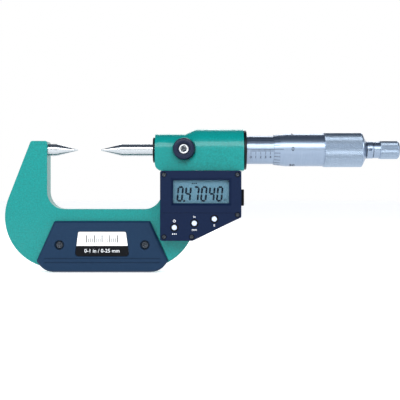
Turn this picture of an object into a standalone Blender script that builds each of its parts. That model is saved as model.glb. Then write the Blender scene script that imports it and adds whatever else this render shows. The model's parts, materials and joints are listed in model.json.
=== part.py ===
"""Digital point micrometer, 0 to 1 inch, as an assembly of separate pieces.

Metres, +Z up. X runs along the measuring axis, from the anvil to the ratchet, and -Y is the display side.
The origin is below the middle of the instrument, on the surface that its grip plates stand on.
Turned pieces are drawn as (distance along the axis, radius), flat ones as outlines in X and Z.
"""

import math

import bmesh
import bpy
from mathutils import Vector

MM = 0.001
INCH = 25.4 * MM

# ---- Clearances
GAP = 0.3 * MM  # between pieces that touch
RUNNING_GAP = 0.1 * MM  # between a shaft and its bearing
CUT_PAST = 1.0 * MM  # how far a cutter reaches beyond the face it opens

# ---- Measuring range and points
MEASURING_RANGE = 1.0 * INCH
POINT_OPENING = 0.475 * INCH  # distance between the two points at rest
SPINDLE_RADIUS = 3.25 * MM
POINT_ANGLE = math.radians(30)
POINT_TIP_RADIUS = 0.3 * MM
ANVIL_REACH = 15.3 * MM  # from the frame's arm to the anvil's tip
ANVIL_SEAT_DEPTH = 6.4 * MM
POINT_PARKING = 4.2 * MM  # plain shank left in front of the barrel when fully open

# ---- Frame
MID_PLANE_Y = 2.7 * MM  # the frame's middle plane, set back so that the whole box is centred
ANVIL_FACE_X = -81.1 * MM
FRAME_THICKNESS = 11.0 * MM
ARM_TOP_WIDTH = 8.55 * MM
ARM_ABOVE_AXIS = 4.5 * MM
BACK_SLOPE = 0.389  # run over rise of the arm's outer edge
ARM_BACK_CORNER = 1.2 * MM
ARM_FRONT_CORNER = 1.0 * MM
THROAT_DEPTH = 31.0 * MM  # from the measuring axis down to the throat's floor
THROAT_FILLET = 9.0 * MM
BELLY_RADIUS = 26.7 * MM
FRAME_BASE_Z = 1.8 * MM
WEB_SETBACK = 3.6 * MM  # from the barrel's front face back to the web below it
WEB_WIDTH = 17.5 * MM
PAD_HEIGHT = 1.0 * MM  # raised pad that the display box sits on
PAD_MARGIN = 2.5 * MM
PAD_SETBACK = 0.5 * MM

# ---- Barrel
FRONT_BARREL_RADIUS = 8.5 * MM
FRONT_BARREL_LENGTH = 15.8 * MM
BARREL_STEP_LENGTH = 5.35 * MM
REAR_BARREL_RADIUS = 11.0 * MM
REAR_BARREL_LENGTH = 24.95 * MM
SADDLE_DROP = 11.1 * MM  # from the axis down to the barrel's flat underside
SADDLE_CORNER = 3.6 * MM
SADDLE_RELIEF = 0.05 * MM
COLLAR_RADIUS = 6.6 * MM
COLLAR_LENGTH = 0.9 * MM
REAR_COLLAR_STEP = 0.7 * MM  # from the barrel's rim down to the rear collar
REAR_COLLAR_LENGTH = 1.3 * MM
SEAL_LENGTH = 1.3 * MM
BUSH_WALL = 1.65 * MM
BUSH_RADIUS = SPINDLE_RADIUS + BUSH_WALL
BUSH_LENGTH = 9.7 * MM
SPINDLE_ROOM = 0.35 * MM  # round the spindle between its guides

# ---- Encoder, inside the rear of the barrel
ENCODER_WALL = 1.6 * MM  # barrel wall round the encoder
ENCODER_BORE_RADIUS = REAR_BARREL_RADIUS - ENCODER_WALL
ENCODER_BORE_DEPTH = 22.2 * MM
ROTOR_BUSH_WALL = 1.35 * MM
ROTOR_BUSH_RADIUS = SPINDLE_RADIUS + ROTOR_BUSH_WALL
ROTOR_BUSH_LENGTH = 12.7 * MM
ROTOR_FLANGE_STEP = 1.6 * MM
ROTOR_FLANGE_LENGTH = 1.3 * MM
ROTOR_BUSH_NOSE = 0.8 * MM  # bush left behind its flange
ROTOR_DISC_INSET = 0.8 * MM  # from the bore's wall to the rotor disc's rim
ROTOR_DISC_THICKNESS = 0.8 * MM
STATOR_THICKNESS = 1.6 * MM
STATOR_BORE_ROOM = 0.4 * MM
DISC_SPACING = 0.4 * MM
DISH_SPRING_RADIUS = 5.6 * MM
DISH_SPRING_THICKNESS = 0.4 * MM
DISH_HEIGHT = 0.5 * MM
KEY_WIDTH = 0.9 * MM
KEY_LENGTH = 2.8 * MM
KEY_SETBACK = 3.0 * MM  # from the encoder bore's floor to the key
KEYWAY_DEPTH = 0.7 * MM
KEYWAY_ROOM = 0.2 * MM

# ---- Sleeve, nut and thimble
SCALE_START = 3.75 * MM  # from the barrel's rear face to the scale's zero line
SLEEVE_RADIUS = 7.4 * MM
SLEEVE_WALL = 0.7 * MM
SLEEVE_SPARE = 4.6 * MM  # sleeve left past the last line of the scale
NUT_BARREL_RADIUS = SLEEVE_RADIUS - SLEEVE_WALL - GAP
NUT_THREAD_LENGTH = 18.0 * MM
NUT_FLANGE_LENGTH = 6.0 * MM
ADJUSTING_NUT_LENGTH = 4.4 * MM
ADJUSTING_NUT_WALL = 1.7 * MM
ADJUSTING_NUT_SETBACK = 0.2 * MM  # below the sleeve's outside
THREAD_STEP = 0.35 * MM  # from the spindle out to its thread, and in to its seat
THREAD_RADIUS = SPINDLE_RADIUS + THREAD_STEP
THIMBLE_WALL = 1.0 * MM
THIMBLE_LIP = 0.25 * MM  # wall at the thimble's thin front edge
THIMBLE_BEVEL_LENGTH = 6.3 * MM
THIMBLE_SPARE = 8.0 * MM  # room left behind the nut when fully closed
THIMBLE_END_WALL = 5.7 * MM
THIMBLE_CONE_LENGTH = 2.3 * MM
KNURL_RAISE = 0.44 * MM
KNURL_LENGTH = 20.3 * MM
SEAT_RADIUS = SPINDLE_RADIUS - THREAD_STEP

# ---- Ratchet stop
RATCHET_NECK_RADIUS = 4.5 * MM
RATCHET_NECK_LENGTH = 3.2 * MM
SPANNER_HOLE_RADIUS = 0.65 * MM
SPANNER_HOLE_DEPTH = 2.5 * MM
RATCHET_STUD_RADIUS = 1.5 * MM
RATCHET_STUD_LENGTH = 7.7 * MM
RATCHET_POST_RADIUS = 2.0 * MM
RATCHET_POST_LENGTH = 7.8 * MM
KNOB_COLLAR_RADIUS = 4.3 * MM
KNOB_COLLAR_LENGTH = 3.3 * MM
KNOB_RADIUS = 4.77 * MM
KNOB_LENGTH = 13.6 * MM
KNOB_BORE_RADIUS = 3.7 * MM
KNOB_CHAMFER = 0.6 * MM
KNOB_WEB = 2.9 * MM  # wall that the ratchet screw clamps
SCREW_POCKET_RADIUS = 2.6 * MM
SCREW_POCKET_DEPTH = 2.9 * MM
RATCHET_SCREW_BORE = 0.95 * MM
RATCHET_SCREW_HEAD_HEIGHT = 1.5 * MM
POST_BORE_FLOOR = 1.6 * MM  # solid post left in front of the screw's hole
SCREW_TIP_ROOM = 0.4 * MM
CLUTCH_LENGTH = 1.4 * MM
CLUTCH_RADIUS = 3.4 * MM
CLUTCH_TRAVEL = 0.5 * MM
RATCHET_SPRING_RADIUS = 2.85 * MM
RATCHET_SPRING_WIRE = 0.22 * MM
RATCHET_SPRING_TURNS = 4

# ---- Spindle lock
LOCK_SETBACK = 15.1 * MM  # from the barrel's front face to the lock's axis
LOCK_KNOB_RADIUS = 5.6 * MM
LOCK_KNOB_HEIGHT = 4.9 * MM
LOCK_KNOB_EDGE = 0.5 * MM
LOCK_SPOT_FACE_DEPTH = 0.5 * MM
LOCK_SPOT_FACE_MARGIN = 0.5 * MM
LOCK_SCREW_RADIUS = 1.5 * MM
LOCK_HEAD_RADIUS = 2.5 * MM
LOCK_HEAD_HEIGHT = 0.6 * MM
LOCK_SHOE_LENGTH = 1.35 * MM

# ---- Grip plates
GRIP_OFFSET = -0.95 * MM  # plate's middle from the throat's middle
GRIP_THICKNESS = 2.5 * MM
GRIP_HEIGHT = 26.4 * MM
GRIP_TOP_WIDTH = 49.6 * MM
GRIP_SHOULDER_WIDTH = 68.3 * MM
GRIP_SHOULDER_Z = 5.6 * MM
GRIP_BASE_WIDTH = 59.4 * MM
GRIP_BASE_ROUND = 9.0 * MM
GRIP_CORNER = 1.0 * MM
GRIP_CHAMFER = 1.6 * MM
GRIP_LIP_HEIGHT = 1.5 * MM
GRIP_LIP_WIDTH = 50.0 * MM
RIM_ABOVE_GRIP = 6.2 * MM  # frame showing between the plate and the throat's floor
GRIP_SCREW_SPACING = 44.3 * MM
GRIP_SCREW_Z = 14.0 * MM
GRIP_SCREW_HEAD_RADIUS = 1.85 * MM
GRIP_SCREW_HEAD_HEIGHT = 0.8 * MM
GRIP_SCREW_POCKET_RADIUS = 2.55 * MM
GRIP_SCREW_POCKET_DEPTH = 1.4 * MM
GRIP_SCREW_RADIUS = 1.2 * MM
GRIP_SCREW_LENGTH = 5.2 * MM
LABEL_BASE_Z = 8.3 * MM
LABEL_HEIGHT = 12.5 * MM
LABEL_TOP_WIDTH = 24.5 * MM
LABEL_BASE_WIDTH = 27.9 * MM
LABEL_THICKNESS = 0.35 * MM
LABEL_TOP_CORNER = 0.8 * MM
LABEL_BASE_CORNER = 1.6 * MM

# ---- Display box
BOX_OVERHANG = 0.5 * MM  # how far the box stands in front of the web's throat edge
BOX_WIDTH = 41.4 * MM
BOX_BASE_Z = 16.5 * MM
BOX_RIGHT_RISE = 12.0 * MM  # from the base up to the foot of its right side
BOX_BASE_WIDTH = 16.6 * MM
BOX_CORNER = 1.0 * MM
BOX_DEPTH = 9.2 * MM  # from the housing's back to the cover's face
BOX_RIM = 3.6 * MM  # width of the walls that the screws go through
COVER_DEPTH = 5.1 * MM
COVER_WALL = 1.6 * MM
GASKET_THICKNESS = 0.3 * MM
GASKET_INSET = 0.4 * MM
FLOOR_THICKNESS = 2.1 * MM
FLOOR_SKIN = 0.8 * MM  # floor left in front of the box screws' holes
BAY_CLEARANCE = 1.0 * MM  # between the web and the battery bay
BAY_BACK = 2.0 * MM  # how far the battery bay reaches behind the middle plane
COVER_SCREW_INSET = 2.0 * MM
COVER_SCREW_RADIUS = 0.7 * MM
COVER_SCREW_HEAD_RADIUS = 1.15 * MM
COVER_SCREW_HEAD_HEIGHT = 0.8 * MM
COVER_SCREW_LENGTH = 7.1 * MM
SCREW_HEAD_ROOM = 0.2 * MM
BOX_SCREW_RADIUS = 1.25 * MM
BOX_SCREW_HEAD_RADIUS = 2.2 * MM
BOX_SCREW_HEAD_HEIGHT = 1.5 * MM
BOX_SCREW_TIP_ROOM = 0.4 * MM
BOX_SCREW_DROPS = (8.0 * MM, 28.0 * MM)  # below the box's top
BOX_SCREW_X = 9.5 * MM  # behind the box's left side

# ---- Display, board and buttons
VIEW_X = 20.9 * MM  # display's middle from the box's left side
VIEW_DROP = 10.7 * MM  # display's middle below the box's top
VIEW_WIDTH = 28.55 * MM
VIEW_HEIGHT = 11.75 * MM
BEZEL_WIDTH = 1.3 * MM
BEZEL_DEPTH = 1.0 * MM
WINDOW_MARGIN = 1.0 * MM
WINDOW_THICKNESS = 0.8 * MM
LCD_THICKNESS = 1.4 * MM
STRIP_HEIGHT = 1.6 * MM
STRIP_THICKNESS = 0.8 * MM
STRIP_WIDTH = 26.0 * MM
BOARD_THICKNESS = 1.0 * MM
BOARD_INSET = 4.0 * MM
BUTTON_RADIUS = 1.3 * MM
BUTTON_PROUD = 0.4 * MM
BUTTON_CROWN = 0.8  # flat top as a share of the cap's radius
BUTTON_TRAVEL = 0.4 * MM
BUTTON_FLANGE_RADIUS = 2.1 * MM
BUTTON_FLANGE_HEIGHT = 0.6 * MM
BUTTON_RING_RADIUS = 2.15 * MM
BUTTON_RING_DEPTH = 0.5 * MM
BUTTON_NAMES = ("set", "unit", "zero")
FIRST_BUTTON = (7.3 * MM, 6.8 * MM)  # from the box's left side and base
BUTTON_STEP = (10.15 * MM, 2.17 * MM)
PAD_DOME_RADIUS = 1.4 * MM
PAD_DOME_CROWN = 0.7
BUTTON_MAT_THICKNESS = 0.6 * MM
BUTTON_MAT_INSET = 4.2 * MM
BUTTON_MAT_TOP = 15.0 * MM  # above the box's base
FLEX_WIDTH = 5.0 * MM
FLEX_THICKNESS = 0.3 * MM
FLEX_SETBACK = 1.5 * MM  # from the encoder bore's floor to the flex
FLEX_LEVEL = 0.9 * MM  # its flat run above the barrel's underside
FLEX_SLOT_REAR = 3.4 * MM
FLEX_SLOT_RISE = 2.9 * MM
FLEX_SLOT_ROOM = 0.2 * MM

# ---- Battery and data port
BATTERY_RADIUS = 5.8 * MM
BATTERY_THICKNESS = 5.4 * MM
BATTERY_STEP = 0.6 * MM
BATTERY_WIRE_RADIUS = 1.0 * MM
BATTERY_X = 29.8 * MM  # from the box's left side
BATTERY_DROP = 13.6 * MM  # below the box's top
CONTACT_THICKNESS = 0.4 * MM
CAP_RADIUS = BATTERY_RADIUS + 1.3 * MM
CAP_THICKNESS = 2.0 * MM
CAP_BOSS_RADIUS = BATTERY_RADIUS - 0.4 * MM
CAP_SLOT_WIDTH = 1.6 * MM
CAP_SLOT_DEPTH = 0.9 * MM
CAP_SLOT_SHARE = 0.75  # of the cap's width
SEAL_RING_THICKNESS = 0.5 * MM
PORT_HEIGHT = 8.5 * MM
PORT_DEPTH = 5.4 * MM
PORT_DROP = 13.65 * MM  # port's middle below the box's top
PORT_BACK = 5.9 * MM  # port's middle in front of the middle plane
PORT_COVER_THICKNESS = 1.4 * MM
PORT_RIM = 0.7 * MM  # how far the cover overlaps the opening's edge
PORT_SOCKET_DEPTH = 3.6 * MM
PORT_SOCKET_WALL = 0.9 * MM
PORT_PLUG_DEPTH = 0.7 * MM

# ---- Segments of round pieces
FINE = 40
COARSE = 24
TINY = 16

# ---- Worked out from the values above
THROAT_FLOOR_Z = GRIP_HEIGHT + RIM_ABOVE_GRIP
AXIS_Z = THROAT_FLOOR_Z + THROAT_DEPTH
HALF_FRAME = FRAME_THICKNESS / 2
HALF_POINT = POINT_ANGLE / 2
TUNNEL_RADIUS = SPINDLE_RADIUS + SPINDLE_ROOM
POINT_LENGTH = SPINDLE_RADIUS / math.tan(HALF_POINT) - POINT_TIP_RADIUS * (1 / math.sin(HALF_POINT) - 1)
ANVIL_TIP_X = ANVIL_FACE_X + ANVIL_REACH
SPINDLE_TIP_X = ANVIL_TIP_X + POINT_OPENING
BARREL_FRONT_X = ANVIL_TIP_X + MEASURING_RANGE + POINT_LENGTH + POINT_PARKING
BARREL_STEP_X = BARREL_FRONT_X + FRONT_BARREL_LENGTH
BARREL_WIDE_X = BARREL_STEP_X + BARREL_STEP_LENGTH
BARREL_REAR_X = BARREL_WIDE_X + REAR_BARREL_LENGTH
SADDLE_Z = AXIS_Z - SADDLE_DROP
WEB_FRONT_X = BARREL_FRONT_X + WEB_SETBACK
WEB_REAR_X = WEB_FRONT_X + WEB_WIDTH
THROAT_MIDDLE_X = (ANVIL_FACE_X + WEB_FRONT_X) / 2
GRIP_X = THROAT_MIDDLE_X + GRIP_OFFSET
GRIP_FACE = HALF_FRAME + GAP + GRIP_THICKNESS
PAD_FACE = HALF_FRAME + PAD_HEIGHT
FLOOR_BACK = PAD_FACE + GAP
BOX_FRONT = FLOOR_BACK + BOX_DEPTH
OPEN_TRAVEL = MEASURING_RANGE - POINT_OPENING
SCALE_ZERO_X = BARREL_REAR_X + SCALE_START
SLEEVE_END_X = SCALE_ZERO_X + MEASURING_RANGE + SLEEVE_SPARE
NUT_END_X = SLEEVE_END_X + ADJUSTING_NUT_LENGTH + 2 * GAP
THIMBLE_FRONT_X = SCALE_ZERO_X + POINT_OPENING
THIMBLE_DEPTH = NUT_END_X - SCALE_ZERO_X + THIMBLE_SPARE
THIMBLE_BORE_RADIUS = SLEEVE_RADIUS + RUNNING_GAP + THIMBLE_LIP / 4
THIMBLE_RADIUS = THIMBLE_BORE_RADIUS + THIMBLE_WALL
THIMBLE_REAR_X = THIMBLE_FRONT_X + THIMBLE_DEPTH + THIMBLE_END_WALL
RATCHET_X = THIMBLE_REAR_X + GAP
KNOB_X = RATCHET_X + RATCHET_NECK_LENGTH + GAP
LOCK_X = BARREL_FRONT_X + LOCK_SETBACK
LOCK_FLOOR = FRONT_BARREL_RADIUS - LOCK_SPOT_FACE_DEPTH
BOX_LEFT_X = WEB_FRONT_X - BOX_OVERHANG
BOX_RIGHT_X = BOX_LEFT_X + BOX_WIDTH
BOX_TOP_Z = SADDLE_Z - GAP
COVER_BACK = BOX_FRONT - COVER_DEPTH
HOUSING_FRONT = COVER_BACK - 2 * GAP - GASKET_THICKNESS
FLOOR_FRONT = FLOOR_BACK + FLOOR_THICKNESS
COVER_INSIDE = BOX_FRONT - COVER_WALL
WINDOW_FRONT = COVER_INSIDE - GAP
LCD_FRONT = WINDOW_FRONT - WINDOW_THICKNESS - GAP
STRIP_FRONT = LCD_FRONT - LCD_THICKNESS - GAP
BOARD_FRONT = FLOOR_FRONT + GAP + BOARD_THICKNESS
VIEW_CENTRE = (BOX_LEFT_X + VIEW_X, BOX_TOP_Z - VIEW_DROP)
BATTERY_CENTRE = (BOX_LEFT_X + BATTERY_X, BOX_TOP_Z - BATTERY_DROP)
BATTERY_POCKET_RADIUS = BATTERY_RADIUS + GAP
CAP_POCKET_RADIUS = CAP_RADIUS + RUNNING_GAP
CAP_BACK = BAY_BACK + GAP
SEAL_RING_BACK = CAP_BACK - CAP_THICKNESS - GAP
BATTERY_BACK = SEAL_RING_BACK - SEAL_RING_THICKNESS - GAP
BATTERY_FRONT = BATTERY_BACK - BATTERY_THICKNESS
POCKET_FLOOR = BATTERY_FRONT - CONTACT_THICKNESS - 2 * GAP


# ---- Scene, materials and small helpers


def new_collection(name):
    collection = bpy.data.collections.new(name)
    bpy.context.scene.collection.children.link(collection)
    return collection


def linear(channel):
    """A screen colour value from 0 to 255, as the linear value that a shader takes."""
    value = channel / 255
    return value / 12.92 if value <= 0.04045 else ((value + 0.055) / 1.055) ** 2.4


def make_material(name, red, green, blue, roughness, metallic=0.0):
    material = bpy.data.materials.new(name)
    material.use_nodes = True
    shader = material.node_tree.nodes["Principled BSDF"]
    shader.inputs["Base Color"].default_value = (linear(red), linear(green), linear(blue), 1)
    shader.inputs["Roughness"].default_value = roughness
    shader.inputs["Metallic"].default_value = metallic
    return material


def place(piece, material=None, at=(0, 0, 0), turned_to=(0, 0, 0), cutter=False):
    """Puts a piece, or a cutter, into the assembly and hangs it on the assembly's empty."""
    (CUTTERS if cutter else PARTS).objects.link(piece)
    piece.parent = ASSEMBLY
    piece.location = at
    piece.rotation_euler = turned_to
    if cutter:
        piece.hide_render = True
        piece.display_type = "WIRE"
    else:
        piece.data.materials.append(material)
    return piece


def cut(piece, *cutters, operation="DIFFERENCE"):
    for cutter in cutters:
        modifier = piece.modifiers.new(cutter.name, "BOOLEAN")
        modifier.operation = operation
        modifier.object = cutter
        modifier.solver = "EXACT"


# ---- Turned pieces

TO_X = (0, math.pi / 2, 0)  # turns a piece's own Z to +X
TO_FRONT = (math.pi / 2, 0, 0)  # ... to -Y
TO_REAR = (-math.pi / 2, 0, 0)  # ... to +Y


def lathe(name, profile, material=None, at=(0, 0, 0), turned_to=TO_X, segments=COARSE, cutter=False):
    """Turns a profile of (distance along the axis, radius): up the outside, then back down the bore.

    A profile that starts and ends on the axis is solid, and any other is closed into a ring.
    """
    solid = profile[0][1] == 0 and profile[-1][1] == 0
    points = [(radius, 0, along) for along, radius in reversed(profile)]
    edges = [(i, i + 1) for i in range(len(points) - 1)]
    if not solid:
        edges.append((len(points) - 1, 0))
    mesh = bpy.data.meshes.new(name)
    mesh.from_pydata(points, edges, [])
    piece = place(bpy.data.objects.new(name, mesh), material, at, turned_to, cutter)
    screw = piece.modifiers.new("turn", "SCREW")
    screw.steps = screw.render_steps = segments
    screw.use_merge_vertices = True
    screw.merge_threshold = 0.00001
    screw.use_smooth_shade = True
    return piece


def rod(start, end, radius):
    """The profile of a plain solid cylinder."""
    return [(start, 0), (start, radius), (end, radius), (end, 0)]


def tube(start, end, outer, bore):
    """The profile of a plain ring or tube."""
    return [(start, outer), (end, outer), (end, bore), (start, bore)]


def on_axis():
    return (0, 0, AXIS_Z)


# ---- Flat pieces


def rounded(corners):
    """An outline's points from its (x, z, radius) corners, with each round corner as an arc."""
    points = []
    count = len(corners)
    for i, (x, z, radius) in enumerate(corners):
        here = Vector((x, z))
        back = (Vector(corners[i - 1][:2]) - here).normalized()
        ahead = (Vector(corners[(i + 1) % count][:2]) - here).normalized()
        if radius == 0:
            points.append(here)
            continue
        half = back.angle(ahead) / 2
        centre = here + (back + ahead).normalized() * radius / math.sin(half)
        start = here + back * radius / math.tan(half)
        sweep = math.pi - 2 * half
        if (start - centre).cross(here - centre) < 0:
            sweep = -sweep
        steps = max(2, round(abs(sweep) * (3 + 260 * radius)))
        first = math.atan2(start.y - centre.y, start.x - centre.x)
        angles = [first + sweep * step / steps for step in range(steps + 1)]
        points += [centre + Vector((math.cos(a), math.sin(a))) * radius for a in angles]
    return points


def inset(corners, distance):
    """The same convex outline, drawn this far inside itself."""
    moved = []
    count = len(corners)
    for i, (x, z, radius) in enumerate(corners):
        here = Vector((x, z))
        back = (Vector(corners[i - 1][:2]) - here).normalized()
        ahead = (Vector(corners[(i + 1) % count][:2]) - here).normalized()
        half = back.angle(ahead) / 2
        inner = here + (back + ahead).normalized() * distance / math.sin(half)
        moved.append((inner.x, inner.y, max(radius - distance, 0)))
    return moved


def kept(corners, axis, limit, side):
    """The part of a convex outline on one side of a straight cut. Side is 1 to keep what is beyond it."""
    result = []
    for i, here in enumerate(corners):
        before = corners[i - 1]
        if (here[axis] - limit) * (before[axis] - limit) < 0:
            share = (limit - before[axis]) / (here[axis] - before[axis])
            result.append((*[before[k] + (here[k] - before[k]) * share for k in (0, 1)], 0))
        if (here[axis] - limit) * side >= 0:
            result.append(here)
    return result


FACING_FRONT = (math.pi / 2, 0, 0)  # an outline's own X and Y lie along X and Z
FACING_SIDE = (math.pi / 2, 0, math.pi / 2)  # ... along Y and Z
FLAT = (0, 0, 0)  # ... along X and Y


def slab(name, outlines, near, far, material=None, facing=FACING_FRONT, cutter=False):
    """An outline with any holes, as solid from near to far across its plane (Y for FACING_FRONT)."""
    curve = bpy.data.curves.new(name, "CURVE")
    curve.dimensions = "2D"
    curve.fill_mode = "BOTH"
    curve.extrude = abs(far - near) / 2
    for outline in outlines:
        spline = curve.splines.new("POLY")
        spline.points.add(len(outline) - 1)
        spline.use_cyclic_u = True
        for point, (x, z) in zip(spline.points, outline):
            point.co = (x, z, 0, 1)
    flat = bpy.data.objects.new(name + "_outline", curve)
    PARTS.objects.link(flat)
    bpy.context.view_layer.update()
    mesh = bpy.data.meshes.new_from_object(flat.evaluated_get(bpy.context.evaluated_depsgraph_get()))
    bpy.data.objects.remove(flat)
    welded = bmesh.new()
    welded.from_mesh(mesh)
    bmesh.ops.remove_doubles(welded, verts=welded.verts, dist=0.000001)
    bmesh.ops.dissolve_limit(welded, angle_limit=0.001, verts=welded.verts, edges=welded.edges)
    bmesh.ops.recalc_face_normals(welded, faces=welded.faces)
    welded.to_mesh(mesh)
    welded.free()
    mesh.name = name
    middle = (near + far) / 2
    at = {FACING_FRONT: (0, middle, 0), FACING_SIDE: (middle, 0, 0), FLAT: (0, 0, middle)}[facing]
    return place(bpy.data.objects.new(name, mesh), material, at, facing, cutter)


def bevel_edges(piece, width, segments, chosen):
    """Bevels the edges that chosen(edge) picks, in the piece's own coordinates."""
    shape = bmesh.new()
    shape.from_mesh(piece.data)
    edges = [edge for edge in shape.edges if chosen(edge)]
    bmesh.ops.bevel(
        shape, geom=edges, offset=width, segments=segments, profile=0.5, affect="EDGES", clamp_overlap=True
    )
    shape.to_mesh(piece.data)
    shape.free()


def box(name, low, high, material=None, cutter=False):
    shape = bmesh.new()
    bmesh.ops.create_cube(shape, size=1)
    size = Vector(high) - Vector(low)
    bmesh.ops.scale(shape, vec=size, verts=shape.verts)
    bmesh.ops.translate(shape, vec=(Vector(low) + Vector(high)) / 2, verts=shape.verts)
    mesh = bpy.data.meshes.new(name)
    shape.to_mesh(mesh)
    shape.free()
    return place(bpy.data.objects.new(name, mesh), material, cutter=cutter)


# ---- Frame and what is fixed to it


def frame_outline():
    arm_top = AXIS_Z + ARM_ABOVE_AXIS
    arm_back = ANVIL_FACE_X - ARM_TOP_WIDTH
    inside_barrel = AXIS_Z - FRONT_BARREL_RADIUS / 2
    return rounded(
        [
            (arm_back, arm_top, ARM_BACK_CORNER),
            (ANVIL_FACE_X, arm_top, ARM_FRONT_CORNER),
            (ANVIL_FACE_X, THROAT_FLOOR_Z, THROAT_FILLET),
            (WEB_FRONT_X, THROAT_FLOOR_Z, THROAT_FILLET),
            (WEB_FRONT_X, inside_barrel, 0),
            (WEB_REAR_X, inside_barrel, 0),
            (WEB_REAR_X, FRAME_BASE_Z, BELLY_RADIUS),
            (arm_back - BACK_SLOPE * (arm_top - FRAME_BASE_Z), FRAME_BASE_Z, BELLY_RADIUS),
        ]
    )


def arc(centre, radius, first, last, steps):
    angles = [first + (last - first) * step / steps for step in range(steps + 1)]
    return [(centre[0] + radius * math.cos(a), centre[1] + radius * math.sin(a)) for a in angles]


def pad_outline():
    """The raised pad: the frame's lower right part up to the barrel, set back from the frame's edges."""
    left = WEB_FRONT_X - PAD_MARGIN
    fillet_centre = (WEB_FRONT_X - THROAT_FILLET, THROAT_FLOOR_Z + THROAT_FILLET)
    fillet_radius = THROAT_FILLET + PAD_SETBACK
    fillet_start = -math.acos((left - fillet_centre[0]) / fillet_radius)
    belly_centre = (WEB_REAR_X - BELLY_RADIUS, FRAME_BASE_Z + BELLY_RADIUS)
    belly_radius = BELLY_RADIUS - PAD_SETBACK
    belly_end = -math.acos((left - belly_centre[0]) / belly_radius)
    top = SADDLE_Z + CUT_PAST
    outline = arc(fillet_centre, fillet_radius, fillet_start, 0, 6)
    outline += [(WEB_FRONT_X + PAD_SETBACK, top), (WEB_REAR_X - PAD_SETBACK, top)]
    return outline + arc(belly_centre, belly_radius, 0, belly_end, 12)


def barrel_steps():
    """The barrel's half width along its length."""
    return [
        (BARREL_FRONT_X, FRONT_BARREL_RADIUS),
        (BARREL_STEP_X, FRONT_BARREL_RADIUS),
        (BARREL_WIDE_X, REAR_BARREL_RADIUS),
        (BARREL_REAR_X, REAR_BARREL_RADIUS),
    ]


def saddle_plan():
    """The straight sided lower half of the barrel, seen from above, a hair narrower than the round half."""
    half = [(x, width - SADDLE_RELIEF) for x, width in barrel_steps()]
    return half + [(x, -y) for x, y in reversed(half)]


def grip_screw_places():
    return [(GRIP_X + side * GRIP_SCREW_SPACING / 2, GRIP_SCREW_Z) for side in (-1, 1)]


def box_screw_places():
    return [(BOX_LEFT_X + BOX_SCREW_X, BOX_TOP_Z - drop) for drop in BOX_SCREW_DROPS]


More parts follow.
